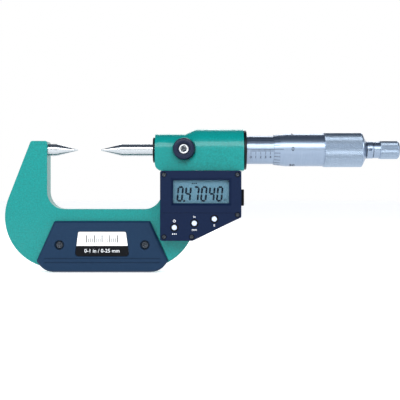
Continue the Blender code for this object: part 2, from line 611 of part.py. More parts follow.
def make_frame():
    frame = slab("frame", [frame_outline()], -HALF_FRAME, HALF_FRAME, PAINT)
    raised = slab("raised_pad", [pad_outline()], -PAD_FACE, 0, cutter=True)
    grip_room = rounded(inset(grip_corners(), -GAP))
    cut(raised, slab("grip_room", [grip_room], -PAD_FACE - CUT_PAST, CUT_PAST, cutter=True))
    turned = lathe(
        "barrel_round",
        [(BARREL_FRONT_X, 0)] + barrel_steps() + [(BARREL_REAR_X, 0)],
        at=on_axis(),
        segments=FINE,
        cutter=True,
    )
    saddle = slab("barrel_saddle", [saddle_plan()], SADDLE_Z, AXIS_Z, facing=FLAT, cutter=True)
    bevel_edges(
        saddle,
        SADDLE_CORNER,
        4,
        lambda edge: all(v.co.x < BARREL_FRONT_X + GAP and v.co.z < 0 for v in edge.verts),
    )
    cut(frame, raised, saddle, turned, operation="UNION")

    bush_end = BARREL_FRONT_X + SEAL_LENGTH + 3 * GAP + BUSH_LENGTH
    encoder_start = BARREL_REAR_X - ENCODER_BORE_DEPTH
    axis_bore = lathe(
        "axis_bore",
        [
            (BARREL_FRONT_X - CUT_PAST, 0),
            (BARREL_FRONT_X - CUT_PAST, BUSH_RADIUS + RUNNING_GAP),
            (bush_end, BUSH_RADIUS + RUNNING_GAP),
            (bush_end, TUNNEL_RADIUS),
            (encoder_start, TUNNEL_RADIUS),
            (encoder_start, ENCODER_BORE_RADIUS),
            (BARREL_REAR_X + CUT_PAST, ENCODER_BORE_RADIUS),
            (BARREL_REAR_X + CUT_PAST, 0),
        ],
        at=on_axis(),
        segments=FINE,
        cutter=True,
    )
    anvil_hole = lathe(
        "anvil_hole",
        rod(ANVIL_FACE_X - ANVIL_SEAT_DEPTH - GAP, ANVIL_FACE_X + CUT_PAST, SPINDLE_RADIUS + RUNNING_GAP),
        at=on_axis(),
        cutter=True,
    )
    lock_hole = lathe(
        "lock_hole",
        [
            (TUNNEL_RADIUS / 2, 0),
            (TUNNEL_RADIUS / 2, LOCK_SCREW_RADIUS + RUNNING_GAP),
            (LOCK_FLOOR, LOCK_SCREW_RADIUS + RUNNING_GAP),
            (LOCK_FLOOR, LOCK_KNOB_RADIUS + LOCK_SPOT_FACE_MARGIN),
            (REAR_BARREL_RADIUS + CUT_PAST, LOCK_KNOB_RADIUS + LOCK_SPOT_FACE_MARGIN),
            (REAR_BARREL_RADIUS + CUT_PAST, 0),
        ],
        at=(LOCK_X, 0, AXIS_Z),
        turned_to=TO_FRONT,
        segments=FINE,
        cutter=True,
    )
    cut(frame, axis_bore, anvil_hole, lock_hole)
    for x, z in grip_screw_places():
        hole = rod(-PAD_FACE - CUT_PAST, PAD_FACE + CUT_PAST, GRIP_SCREW_RADIUS + RUNNING_GAP)
        cut(frame, lathe("grip_screw_hole", hole, None, (x, 0, z), TO_FRONT, TINY, cutter=True))
    for x, z in box_screw_places():
        profile = [
            (-PAD_FACE - CUT_PAST, 0),
            (-PAD_FACE - CUT_PAST, BOX_SCREW_RADIUS + RUNNING_GAP),
            (HALF_FRAME - BOX_SCREW_HEAD_HEIGHT - 2 * GAP, BOX_SCREW_RADIUS + RUNNING_GAP),
            (HALF_FRAME - BOX_SCREW_HEAD_HEIGHT - 2 * GAP, BOX_SCREW_HEAD_RADIUS + GAP),
            (HALF_FRAME + CUT_PAST, BOX_SCREW_HEAD_RADIUS + GAP),
            (HALF_FRAME + CUT_PAST, 0),
        ]
        cut(frame, lathe("box_screw_hole", profile, None, (x, 0, z), TO_REAR, COARSE, cutter=True))
    cut(frame, box("flex_slot", *flex_slot(), cutter=True))
    return frame


def pointed(tip, base, shank_end, direction, profile_radius=SPINDLE_RADIUS):
    """The profile points of a conical measuring point with its small rounded tip, from the tip back."""
    blunt_radius = POINT_TIP_RADIUS * math.cos(HALF_POINT)
    blunt_length = POINT_TIP_RADIUS * (1 - math.sin(HALF_POINT))
    return [
        (tip, 0),
        (tip + direction * blunt_length, blunt_radius),
        (base, profile_radius),
        (shank_end, profile_radius),
    ]


def make_anvil():
    end = ANVIL_FACE_X - ANVIL_SEAT_DEPTH
    profile = pointed(ANVIL_TIP_X, ANVIL_TIP_X - POINT_LENGTH, end, -1) + [(end, 0)]
    lathe("anvil", list(reversed(profile)), STEEL, on_axis(), segments=FINE)


def make_barrel_fittings():
    bore = SPINDLE_RADIUS + RUNNING_GAP
    seal_start = BARREL_FRONT_X + GAP
    bush_start = seal_start + SEAL_LENGTH + GAP
    lathe(
        "front_collar",
        tube(BARREL_FRONT_X - GAP - COLLAR_LENGTH, BARREL_FRONT_X - GAP, COLLAR_RADIUS, bore + GAP),
        BLACK_PLASTIC,
        on_axis(),
        segments=FINE,
    )
    lathe("spindle_seal", tube(seal_start, seal_start + SEAL_LENGTH, BUSH_RADIUS, bore), RUBBER, on_axis())
    lathe(
        "spindle_bush",
        tube(bush_start, bush_start + BUSH_LENGTH, BUSH_RADIUS, bore),
        STEEL,
        on_axis(),
        segments=FINE,
    )
    start = BARREL_REAR_X + GAP
    lathe(
        "rear_collar",
        tube(
            start,
            start + REAR_COLLAR_LENGTH,
            REAR_BARREL_RADIUS - REAR_COLLAR_STEP,
            SLEEVE_RADIUS + RUNNING_GAP,
        ),
        BLACK_PLASTIC,
        on_axis(),
        segments=FINE,
    )


# ---- Grip plates


def grip_corners():
    right = [
        (GRIP_X + GRIP_TOP_WIDTH / 2, GRIP_HEIGHT, GRIP_CORNER),
        (GRIP_X + GRIP_SHOULDER_WIDTH / 2, GRIP_SHOULDER_Z, GRIP_CORNER),
        (GRIP_X + GRIP_BASE_WIDTH / 2, 0, GRIP_BASE_ROUND),
    ]
    left = [(2 * GRIP_X - x, z, radius) for x, z, radius in reversed(right)]
    return right + left


def label_corners(margin):
    """The label's outline, grown by a margin on each side."""
    top, base = LABEL_TOP_WIDTH / 2 + margin, LABEL_BASE_WIDTH / 2 + margin
    high, low = LABEL_BASE_Z + LABEL_HEIGHT + margin, LABEL_BASE_Z - margin
    return [
        (GRIP_X + top, high, LABEL_TOP_CORNER),
        (GRIP_X + base, low, LABEL_BASE_CORNER),
        (GRIP_X - base, low, LABEL_BASE_CORNER),
        (GRIP_X - top, high, LABEL_TOP_CORNER),
    ]


def make_grip_plate(name, side):
    """One plate. Side is -1 for the front and 1 for the rear."""
    back = side * (HALF_FRAME + GAP)
    plate = slab(name, [rounded(grip_corners())], back, side * GRIP_FACE, GRIP_PLASTIC)
    outward = -side  # an outline that faces front has its own Z along -Y
    bevel_edges(plate, GRIP_CHAMFER, 1, lambda edge: all(v.co.z * outward > 0 for v in edge.verts))
    low = (GRIP_X - GRIP_LIP_WIDTH / 2, side * GAP / 2, 0)
    high = (GRIP_X + GRIP_LIP_WIDTH / 2, side * (HALF_FRAME + 2 * GAP), GRIP_LIP_HEIGHT)
    ends = [tuple(pick(a, b) for a, b in zip(low, high)) for pick in (min, max)]
    cut(plate, box(name + "_lip", *ends, cutter=True), operation="UNION")
    floor = GRIP_FACE - GRIP_SCREW_POCKET_DEPTH
    profile = [
        (HALF_FRAME - CUT_PAST, 0),
        (HALF_FRAME - CUT_PAST, GRIP_SCREW_RADIUS + RUNNING_GAP),
        (floor, GRIP_SCREW_RADIUS + RUNNING_GAP),
        (floor, GRIP_SCREW_POCKET_RADIUS),
        (GRIP_FACE + CUT_PAST, GRIP_SCREW_POCKET_RADIUS),
        (GRIP_FACE + CUT_PAST, 0),
    ]
    facing = TO_FRONT if side < 0 else TO_REAR
    for x, z in grip_screw_places():
        cut(plate, lathe(name + "_hole", profile, None, (x, 0, z), facing, COARSE, cutter=True))
    return plate


def make_grip_screws(place_name, side):
    head_base = GRIP_FACE - GRIP_SCREW_POCKET_DEPTH + GAP
    head_top = head_base + GRIP_SCREW_HEAD_HEIGHT
    profile = [
        (head_base - GRIP_SCREW_LENGTH, 0),
        (head_base - GRIP_SCREW_LENGTH, GRIP_SCREW_RADIUS),
        (head_base, GRIP_SCREW_RADIUS),
        (head_base, GRIP_SCREW_HEAD_RADIUS),
        (head_top, GRIP_SCREW_HEAD_RADIUS),
        (head_top, 0),
    ]
    facing = TO_FRONT if side < 0 else TO_REAR
    for end, (x, z) in zip(("left", "right"), grip_screw_places()):
        lathe(f"{place_name}_screw_{end}", profile, BLACK_STEEL, (x, 0, z), facing, TINY)


def make_grips():
    front = make_grip_plate("front_grip_plate", -1)
    make_grip_plate("rear_grip_plate", 1)
    pocket_floor = GRIP_FACE - LABEL_THICKNESS - GAP
    recess = slab(
        "label_recess", [rounded(label_corners(GAP))], -pocket_floor, -GRIP_FACE - CUT_PAST, cutter=True
    )
    cut(front, recess)
    slab("range_label", [rounded(label_corners(0))], -GRIP_FACE, -GRIP_FACE + LABEL_THICKNESS, LABEL)
    make_grip_screws("front_grip", -1)
    make_grip_screws("rear_grip", 1)


# ---- Display box


def box_corners():
    top = BOX_TOP_Z
    return [
        (BOX_LEFT_X, top, BOX_CORNER),
        (BOX_RIGHT_X, top, BOX_CORNER),
        (BOX_RIGHT_X, BOX_BASE_Z + BOX_RIGHT_RISE, BOX_CORNER),
        (BOX_LEFT_X + BOX_BASE_WIDTH, BOX_BASE_Z, 2 * BOX_CORNER),
        (BOX_LEFT_X, BOX_BASE_Z, BOX_CORNER),
    ]


def cover_screw_places():
    return [(x, z) for x, z, _ in inset(box_corners(), COVER_SCREW_INSET)]


def button_places():
    x, z = BOX_LEFT_X + FIRST_BUTTON[0], BOX_BASE_Z + FIRST_BUTTON[1]
    return [(x + i * BUTTON_STEP[0], z + i * BUTTON_STEP[1]) for i in range(len(BUTTON_NAMES))]


def flex_slot():
    """The corners of the slot in the barrel's underside that the encoder's flex passes through."""
    x = encoder_flex_x()
    low = (x - GAP, -HOUSING_FRONT - FLEX_SLOT_ROOM, SADDLE_Z - CUT_PAST)
    high = (x + FLEX_WIDTH + GAP, -FLEX_SLOT_REAR, SADDLE_Z + FLEX_SLOT_RISE)
    return low, high


def encoder_flex_x():
    return BARREL_REAR_X - ENCODER_BORE_DEPTH + FLEX_SETBACK


def screw_hole(name, x, z, start, end, radius):
    """A straight cutter along Y, between two distances in front of the middle plane."""
    return lathe(name, rod(start, end, radius), None, (x, 0, z), TO_FRONT, TINY, cutter=True)


def rectangle(centre, width, height, margin=0.0):
    x, z = centre
    half_x, half_z = width / 2 + margin, height / 2 + margin
    return [(x + i * half_x, z + k * half_z) for i, k in ((-1, -1), (1, -1), (1, 1), (-1, 1))]


def make_housing():
    housing = slab("display_housing", [rounded(box_corners())], -HOUSING_FRONT, -FLOOR_BACK, BOX_PLASTIC)
    bay = kept(box_corners(), 0, WEB_REAR_X + BAY_CLEARANCE, 1)
    cut(
        housing,
        slab("battery_bay", [rounded(bay)], -HOUSING_FRONT, BAY_BACK, cutter=True),
        operation="UNION",
    )
    cavity = rounded(inset(box_corners(), BOX_RIM))
    cut(housing, slab("housing_cavity", [cavity], -HOUSING_FRONT - CUT_PAST, -FLOOR_FRONT, cutter=True))
    battery_pocket = lathe(
        "battery_pocket",
        [
            (POCKET_FLOOR, 0),
            (POCKET_FLOOR, BATTERY_POCKET_RADIUS),
            (BATTERY_BACK, BATTERY_POCKET_RADIUS),
            (BATTERY_BACK, CAP_POCKET_RADIUS),
            (BAY_BACK + CUT_PAST, CAP_POCKET_RADIUS),
            (BAY_BACK + CUT_PAST, 0),
        ],
        at=(BATTERY_CENTRE[0], 0, BATTERY_CENTRE[1]),
        turned_to=TO_REAR,
        cutter=True,
    )
    wire_hole = lathe(
        "battery_wire_hole",
        rod(-FLOOR_FRONT - CUT_PAST, POCKET_FLOOR + CUT_PAST, BATTERY_WIRE_RADIUS),
        at=(BATTERY_CENTRE[0], 0, BATTERY_CENTRE[1]),
        turned_to=TO_REAR,
        segments=TINY,
        cutter=True,
    )
    cut(housing, battery_pocket, wire_hole, box("port_opening", *port_room(), cutter=True))
    for x, z in cover_screw_places():
        end = HOUSING_FRONT + CUT_PAST
        start = BOX_FRONT - COVER_SCREW_LENGTH - 3 * GAP - COVER_SCREW_HEAD_HEIGHT
        cut(housing, screw_hole("housing_screw_hole", x, z, start, end, COVER_SCREW_RADIUS + RUNNING_GAP))
    for x, z in box_screw_places():
        depth = FLOOR_FRONT - FLOOR_SKIN
        start = FLOOR_BACK - CUT_PAST
        cut(housing, screw_hole("floor_screw_hole", x, z, start, depth, BOX_SCREW_RADIUS + RUNNING_GAP))
    x = encoder_flex_x()
    notch_low = (x - GAP, -HOUSING_FRONT - CUT_PAST, BOX_TOP_Z - BOX_RIM - CUT_PAST)
    notch_high = (x + FLEX_WIDTH + GAP, -FLOOR_FRONT, BOX_TOP_Z + CUT_PAST)
    cut(housing, box("flex_notch", notch_low, notch_high, cutter=True))


def bezel_cutter():
    """The display opening: a straight window with sloped sides towards the front."""
    x, z = VIEW_CENTRE
    half_x, half_z = VIEW_WIDTH / 2, VIEW_HEIGHT / 2
    low = (x - half_x, -BOX_FRONT - CUT_PAST, z - half_z)
    high = (x + half_x, -COVER_INSIDE + CUT_PAST, z + half_z)
    straight = box("view_opening", low, high, cutter=True)
    low = (x - half_x, -BOX_FRONT, z - half_z)
    high = (x + half_x, -BOX_FRONT + BEZEL_DEPTH, z + half_z)
    sloped = box("bezel_slope", low, high, cutter=True)
    for vertex in sloped.data.vertices:
        if vertex.co.y < -BOX_FRONT + BEZEL_DEPTH / 2:
            vertex.co.x += math.copysign(BEZEL_WIDTH, vertex.co.x - x)
            vertex.co.z += math.copysign(BEZEL_WIDTH, vertex.co.z - z)
            vertex.co.y -= RUNNING_GAP
    return straight, sloped


def make_cover():
    cover = slab("display_cover", [rounded(box_corners())], -BOX_FRONT, -COVER_BACK, BOX_PLASTIC)
    cavity = rounded(inset(box_corners(), BOX_RIM))
    cut(cover, slab("cover_cavity", [cavity], -COVER_INSIDE, -COVER_BACK + CUT_PAST, cutter=True))
    cut(cover, *bezel_cutter())
    for x, z in button_places():
        profile = [
            (COVER_BACK - CUT_PAST, 0),
            (COVER_BACK - CUT_PAST, BUTTON_FLANGE_RADIUS + GAP),
            (COVER_INSIDE, BUTTON_FLANGE_RADIUS + GAP),
            (COVER_INSIDE, BUTTON_RADIUS + GAP),
            (BOX_FRONT - BUTTON_RING_DEPTH, BUTTON_RADIUS + GAP),
            (BOX_FRONT - BUTTON_RING_DEPTH, BUTTON_RING_RADIUS),
            (BOX_FRONT + CUT_PAST, BUTTON_RING_RADIUS),
            (BOX_FRONT + CUT_PAST, 0),
        ]
        cut(cover, lathe("button_hole", profile, None, (x, 0, z), TO_FRONT, TINY, cutter=True))
    head_floor = BOX_FRONT - COVER_SCREW_HEAD_HEIGHT - 2 * GAP
    for x, z in cover_screw_places():
        profile = [
            (COVER_BACK - CUT_PAST, 0),
            (COVER_BACK - CUT_PAST, COVER_SCREW_RADIUS + RUNNING_GAP),
            (head_floor, COVER_SCREW_RADIUS + RUNNING_GAP),
            (head_floor, COVER_SCREW_HEAD_RADIUS + SCREW_HEAD_ROOM),
            (BOX_FRONT + CUT_PAST, COVER_SCREW_HEAD_RADIUS + SCREW_HEAD_ROOM),
            (BOX_FRONT + CUT_PAST, 0),
        ]
        cut(cover, lathe("cover_screw_hole", profile, None, (x, 0, z), TO_FRONT, TINY, cutter=True))


def circle(centre, radius, count=10):
    angles = [2 * math.pi * i / count for i in range(count)]
    return [(centre[0] + radius * math.cos(a), centre[1] + radius * math.sin(a)) for a in angles]


def make_gasket():
    holes = [circle(spot, COVER_SCREW_RADIUS + GAP) for spot in cover_screw_places()]
    outer = rounded(inset(box_corners(), GASKET_INSET))
    inner = rounded(inset(box_corners(), BOX_RIM))
    front = COVER_BACK - GAP
    slab("cover_gasket", [outer, inner] + holes, -front, -front + GASKET_THICKNESS, RUBBER)


def make_cover_screws():
    head_base = BOX_FRONT - COVER_SCREW_HEAD_HEIGHT - GAP
    profile = [
        (head_base - COVER_SCREW_LENGTH, 0),
        (head_base - COVER_SCREW_LENGTH, COVER_SCREW_RADIUS),
        (head_base, COVER_SCREW_RADIUS),
        (head_base, COVER_SCREW_HEAD_RADIUS),
        (BOX_FRONT - GAP, COVER_SCREW_HEAD_RADIUS),
        (BOX_FRONT - GAP, 0),
    ]
    for number, (x, z) in enumerate(cover_screw_places(), 1):
        lathe(f"cover_screw_{number}", profile, BLACK_STEEL, (x, 0, z), TO_FRONT, TINY)
    head_base = HALF_FRAME - BOX_SCREW_HEAD_HEIGHT - GAP
    tip = -FLOOR_FRONT + FLOOR_SKIN + BOX_SCREW_TIP_ROOM
    profile = [
        (tip, 0),
        (tip, BOX_SCREW_RADIUS),
        (head_base, BOX_SCREW_RADIUS),
        (head_base, BOX_SCREW_HEAD_RADIUS),
        (HALF_FRAME - GAP, BOX_SCREW_HEAD_RADIUS),
        (HALF_FRAME - GAP, 0),
    ]
    for number, (x, z) in enumerate(box_screw_places(), 1):
        lathe(f"box_screw_{number}", profile, BLACK_STEEL, (x, 0, z), TO_REAR, TINY)


def make_display():
    window = rectangle(VIEW_CENTRE, VIEW_WIDTH, VIEW_HEIGHT, WINDOW_MARGIN)
    slab("display_window", [window], -WINDOW_FRONT, -WINDOW_FRONT + WINDOW_THICKNESS, CLEAR)
    slab("lcd_panel", [window], -LCD_FRONT, -LCD_FRONT + LCD_THICKNESS, LCD)
    strip_z = VIEW_CENTRE[1] - VIEW_HEIGHT / 2 - WINDOW_MARGIN + STRIP_HEIGHT / 2
    strip = rectangle((VIEW_CENTRE[0], strip_z), STRIP_WIDTH, STRIP_HEIGHT)
    slab("elastomer_strip", [strip], -STRIP_FRONT, -STRIP_FRONT + STRIP_THICKNESS, RUBBER)
    board = rounded(inset(box_corners(), BOARD_INSET))
    slab("circuit_board", [board], -BOARD_FRONT, -BOARD_FRONT + BOARD_THICKNESS, BOARD)


def make_buttons():
    flange_front = COVER_INSIDE - RUNNING_GAP
    profile = [
        (flange_front - BUTTON_FLANGE_HEIGHT, 0),
        (flange_front - BUTTON_FLANGE_HEIGHT, BUTTON_FLANGE_RADIUS),
        (flange_front, BUTTON_FLANGE_RADIUS),
        (flange_front, BUTTON_RADIUS),
        (BOX_FRONT + BUTTON_PROUD / 2, BUTTON_RADIUS),
        (BOX_FRONT + BUTTON_PROUD, BUTTON_RADIUS * BUTTON_CROWN),
        (BOX_FRONT + BUTTON_PROUD, 0),
    ]
    for name, (x, z) in zip(BUTTON_NAMES, button_places()):
        lathe(f"{name}_button", profile, BUTTON, (x, 0, z), TO_FRONT, TINY)
    mat_corners = kept(inset(box_corners(), BUTTON_MAT_INSET), 1, BOX_BASE_Z + BUTTON_MAT_TOP, -1)
    mat_back = BOARD_FRONT + GAP
    mat_front = mat_back + BUTTON_MAT_THICKNESS
    mat = slab("button_pad", [rounded(mat_corners)], -mat_front, -mat_back, RUBBER)
    dome_top = flange_front - BUTTON_FLANGE_HEIGHT - BUTTON_TRAVEL - GAP
    dome = [
        (mat_back + RUNNING_GAP, 0),
        (mat_back + RUNNING_GAP, PAD_DOME_RADIUS),
        (dome_top - RUNNING_GAP, PAD_DOME_RADIUS),
        (dome_top, PAD_DOME_RADIUS * PAD_DOME_CROWN),
        (dome_top, 0),
    ]
    for x, z in button_places():
        key = lathe("mat_dome", dome, None, (x, 0, z), TO_FRONT, TINY, cutter=True)
        cut(mat, key, operation="UNION")


def make_battery():
    x, z = BATTERY_CENTRE
    spot = (x, 0, z)
    rear = {"at": spot, "turned_to": TO_REAR}
    contact_front = POCKET_FLOOR + GAP
    contact_back = contact_front + CONTACT_THICKNESS
    contact = tube(contact_front, contact_back, BATTERY_RADIUS - GAP, BATTERY_WIRE_RADIUS)
    lathe("battery_contact", contact, BRASS, **rear)
    rim = BATTERY_STEP
    cell = [
        (BATTERY_FRONT, 0),
        (BATTERY_FRONT, BATTERY_RADIUS - 2 * rim),
        (BATTERY_FRONT + rim, BATTERY_RADIUS - rim),
        (BATTERY_FRONT + 2 * rim, BATTERY_RADIUS),
        (BATTERY_BACK, BATTERY_RADIUS),
        (BATTERY_BACK, 0),
    ]
    lathe("battery", cell, STEEL, **rear)
    ring = tube(SEAL_RING_BACK - SEAL_RING_THICKNESS, SEAL_RING_BACK, CAP_RADIUS, CAP_BOSS_RADIUS + GAP)
    lathe("battery_seal", ring, RUBBER, **rear)
    inner = CAP_BACK - CAP_THICKNESS
    profile = [
        (BATTERY_BACK + GAP, 0),
        (BATTERY_BACK + GAP, CAP_BOSS_RADIUS),
        (inner, CAP_BOSS_RADIUS),
        (inner, CAP_RADIUS),
        (CAP_BACK, CAP_RADIUS),
        (CAP_BACK, 0),
    ]
    cap = lathe("battery_cap", profile, BLACK_PLASTIC, **rear)
    half_slot = CAP_RADIUS * CAP_SLOT_SHARE
    low = (x - half_slot, CAP_BACK - CAP_SLOT_DEPTH, z - CAP_SLOT_WIDTH / 2)
    high = (x + half_slot, CAP_BACK + CUT_PAST, z + CAP_SLOT_WIDTH / 2)
    cut(cap, box("coin_slot", low, high, cutter=True))


def port_room():
    """The corners of the opening in the box's right wall."""
    z = BOX_TOP_Z - PORT_DROP
    half_z = PORT_HEIGHT / 2 - PORT_RIM
    half_y = PORT_DEPTH / 2 - PORT_RIM
    low = (BOX_RIGHT_X - PORT_SOCKET_DEPTH - 2 * GAP, -PORT_BACK - half_y, z - half_z)
    high = (BOX_RIGHT_X + CUT_PAST, -PORT_BACK + half_y, z + half_z)
    return low, high


def shrunk(low, high, gap):
    return tuple(v + gap for v in low), tuple(v - gap for v in high)


def make_data_port():
    low, high = shrunk(*port_room(), GAP)
    plug_x = BOX_RIGHT_X - PORT_PLUG_DEPTH
    socket = box("data_port_socket", low, (plug_x - GAP, *high[1:]), BLACK_PLASTIC)
    recess_low, recess_high = shrunk(low, (plug_x, *high[1:]), PORT_SOCKET_WALL)
    cut(socket, box("socket_recess", recess_low, (plug_x, *recess_high[1:]), cutter=True))
    z = BOX_TOP_Z - PORT_DROP
    flange_x = BOX_RIGHT_X + GAP
    flange_low = (flange_x, -PORT_BACK - PORT_DEPTH / 2, z - PORT_HEIGHT / 2)
    flange_high = (flange_x + PORT_COVER_THICKNESS, -PORT_BACK + PORT_DEPTH / 2, z + PORT_HEIGHT / 2)
    cover = box("data_port_cover", flange_low, flange_high, BLACK_PLASTIC)
    plug = box("port_plug", (plug_x, *low[1:]), (flange_x + GAP, *high[1:]), cutter=True)
    cut(cover, plug, operation="UNION")


# ---- Encoder


def make_encoder():
    start = BARREL_REAR_X - ENCODER_BORE_DEPTH
    bush_start = start + GAP
    bush_end = bush_start + ROTOR_BUSH_LENGTH
    flange_end = bush_end - ROTOR_BUSH_NOSE
    flange_start = flange_end - ROTOR_FLANGE_LENGTH
    bore = SPINDLE_RADIUS + RUNNING_GAP
    bush = lathe(
        "rotor_bush",
        [
            (bush_start, ROTOR_BUSH_RADIUS),
            (flange_start, ROTOR_BUSH_RADIUS),
            (flange_start, ROTOR_BUSH_RADIUS + ROTOR_FLANGE_STEP),
            (flange_end, ROTOR_BUSH_RADIUS + ROTOR_FLANGE_STEP),
            (flange_end, ROTOR_BUSH_RADIUS),
            (bush_end, ROTOR_BUSH_RADIUS),
            (bush_end, bore),
            (bush_start, bore),
        ],
        BRASS,
        on_axis(),
        segments=FINE,
    )
    disc_end = flange_start - GAP
    disc_start, disc_radius = disc_end - ROTOR_DISC_THICKNESS, ENCODER_BORE_RADIUS - ROTOR_DISC_INSET
    disc = tube(disc_start, disc_end, disc_radius, ROTOR_BUSH_RADIUS + RUNNING_GAP)
    lathe("encoder_rotor", disc, BOARD, on_axis(), segments=FINE)
    stator_end = disc_start - DISC_SPACING
    stator_bore = ROTOR_BUSH_RADIUS + STATOR_BORE_ROOM
    stator = tube(stator_end - STATOR_THICKNESS, stator_end, ENCODER_BORE_RADIUS - GAP, stator_bore)
    lathe("encoder_stator", stator, BOARD, on_axis(), segments=FINE)

    key_low = (key_x(), -KEY_WIDTH / 2, AXIS_Z + SPINDLE_RADIUS - KEYWAY_DEPTH + GAP)
    key_high = (key_x() + KEY_LENGTH, KEY_WIDTH / 2, AXIS_Z + ROTOR_BUSH_RADIUS - GAP)
    box("rotor_key", key_low, key_high, STEEL)
    slot_low = (key_low[0] - GAP, key_low[1] - GAP / 2, AXIS_Z + bore / 2)
    slot_high = (key_high[0] + GAP, key_high[1] + GAP / 2, AXIS_Z + ROTOR_BUSH_RADIUS + CUT_PAST)
    cut(bush, box("key_slot", slot_low, slot_high, cutter=True))

    spring_middle = (bush_end + BARREL_REAR_X - GAP - NUT_FLANGE_LENGTH) / 2
    half = DISH_SPRING_THICKNESS / 2
    rim, eye = spring_middle + DISH_HEIGHT / 2, spring_middle - DISH_HEIGHT / 2
    spring_profile = [
        (rim - half, DISH_SPRING_RADIUS),
        (rim + half, DISH_SPRING_RADIUS),
        (eye + half, THREAD_RADIUS + GAP),
        (eye - half, THREAD_RADIUS + GAP),
    ]
    lathe("preload_spring", spring_profile, STEEL, on_axis())

    x = encoder_flex_x()
    inner = flex_slot()
    front = inner[0][1] + GAP
    rise = inner[1][1] - GAP
    foot = BOX_TOP_Z - BOARD_INSET + GAP
    level = SADDLE_Z + FLEX_LEVEL
    top = inner[1][2] + GAP
    t = FLEX_THICKNESS
    path = [
        (front, foot),
        (front + t, foot),
        (front + t, level),
        (rise, level),
        (rise, top),
        (rise - t, top),
        (rise - t, level + t),
        (front, level + t),
    ]
    slab("encoder_flex", [path], x, x + FLEX_WIDTH, COPPER, facing=FACING_SIDE)


def key_x():
    return BARREL_REAR_X - ENCODER_BORE_DEPTH + KEY_SETBACK


# ---- Sleeve, nut, thimble and spindle


def make_sleeve():
    flange_x = BARREL_REAR_X - GAP - NUT_FLANGE_LENGTH
    thread_bore = THREAD_RADIUS + RUNNING_GAP
    nut_radius = SLEEVE_RADIUS - ADJUSTING_NUT_SETBACK
    stub_radius = nut_radius - ADJUSTING_NUT_WALL - RUNNING_GAP
    lathe(
        "inner_sleeve",
        [
            (flange_x, ENCODER_BORE_RADIUS - RUNNING_GAP),
            (BARREL_REAR_X - GAP, ENCODER_BORE_RADIUS - RUNNING_GAP),
            (BARREL_REAR_X - GAP, NUT_BARREL_RADIUS),
            (SLEEVE_END_X, NUT_BARREL_RADIUS),
            (SLEEVE_END_X, stub_radius),
            (NUT_END_X, stub_radius),
            (NUT_END_X, thread_bore),
            (flange_x, thread_bore),
        ],
        STEEL,
        on_axis(),
        segments=FINE,
    )
    nut_x = SLEEVE_END_X + GAP
    nut = tube(nut_x, nut_x + ADJUSTING_NUT_LENGTH, nut_radius, stub_radius + RUNNING_GAP)
    lathe("adjusting_nut", nut, BLACK_STEEL, on_axis(), segments=FINE)
    start = BARREL_REAR_X + GAP
    sleeve = tube(start, SLEEVE_END_X, SLEEVE_RADIUS, SLEEVE_RADIUS - SLEEVE_WALL)
    lathe("sleeve", sleeve, CHROME, on_axis(), segments=FINE)


def make_spindle():
    thread_start = NUT_END_X - NUT_THREAD_LENGTH - OPEN_TRAVEL
    thread_end = NUT_END_X + POINT_OPENING
    end = THIMBLE_REAR_X - GAP
    stud_bore = RATCHET_STUD_RADIUS + RUNNING_GAP
    bore_start = RATCHET_X - RATCHET_STUD_LENGTH - GAP
    profile = pointed(SPINDLE_TIP_X, SPINDLE_TIP_X + POINT_LENGTH, thread_start, 1) + [
        (thread_start, THREAD_RADIUS),
        (thread_end, THREAD_RADIUS),
        (thread_end, SEAT_RADIUS),
        (end, SEAT_RADIUS),
        (end, stud_bore),
        (bore_start, stud_bore),
        (bore_start, 0),
    ]
    spindle = lathe("spindle", profile, STEEL, on_axis(), segments=FINE)
    half = KEY_WIDTH / 2 + KEYWAY_ROOM
    low = (key_x() - OPEN_TRAVEL - 2 * GAP, -half, AXIS_Z + SPINDLE_RADIUS - KEYWAY_DEPTH)
    high = (key_x() + KEY_LENGTH + POINT_OPENING + 2 * GAP, half, AXIS_Z + THREAD_RADIUS + CUT_PAST)
    cut(spindle, box("keyway", low, high, cutter=True))


def make_thimble():
    front, rear = THIMBLE_FRONT_X, THIMBLE_REAR_X
    bore = THIMBLE_BORE_RADIUS
    plain = THIMBLE_RADIUS
    knurl = plain + KNURL_RAISE
    knurl_end = rear - THIMBLE_CONE_LENGTH
    knurl_start = knurl_end - KNURL_LENGTH
    wall_x = front + THIMBLE_DEPTH
    seat = SEAT_RADIUS + RUNNING_GAP
    lathe(
        "thimble",
        [
            (front, bore + THIMBLE_LIP),
            (front + THIMBLE_BEVEL_LENGTH, plain),
            (knurl_start, plain),
            (knurl_start, knurl),
            (knurl_end, knurl),
            (rear, RATCHET_NECK_RADIUS),
            (rear, seat),
            (wall_x, seat),
            (wall_x, bore),
            (front, bore),
        ],
        CHROME,
        on_axis(),
        segments=FINE,
    )


# ---- Ratchet stop


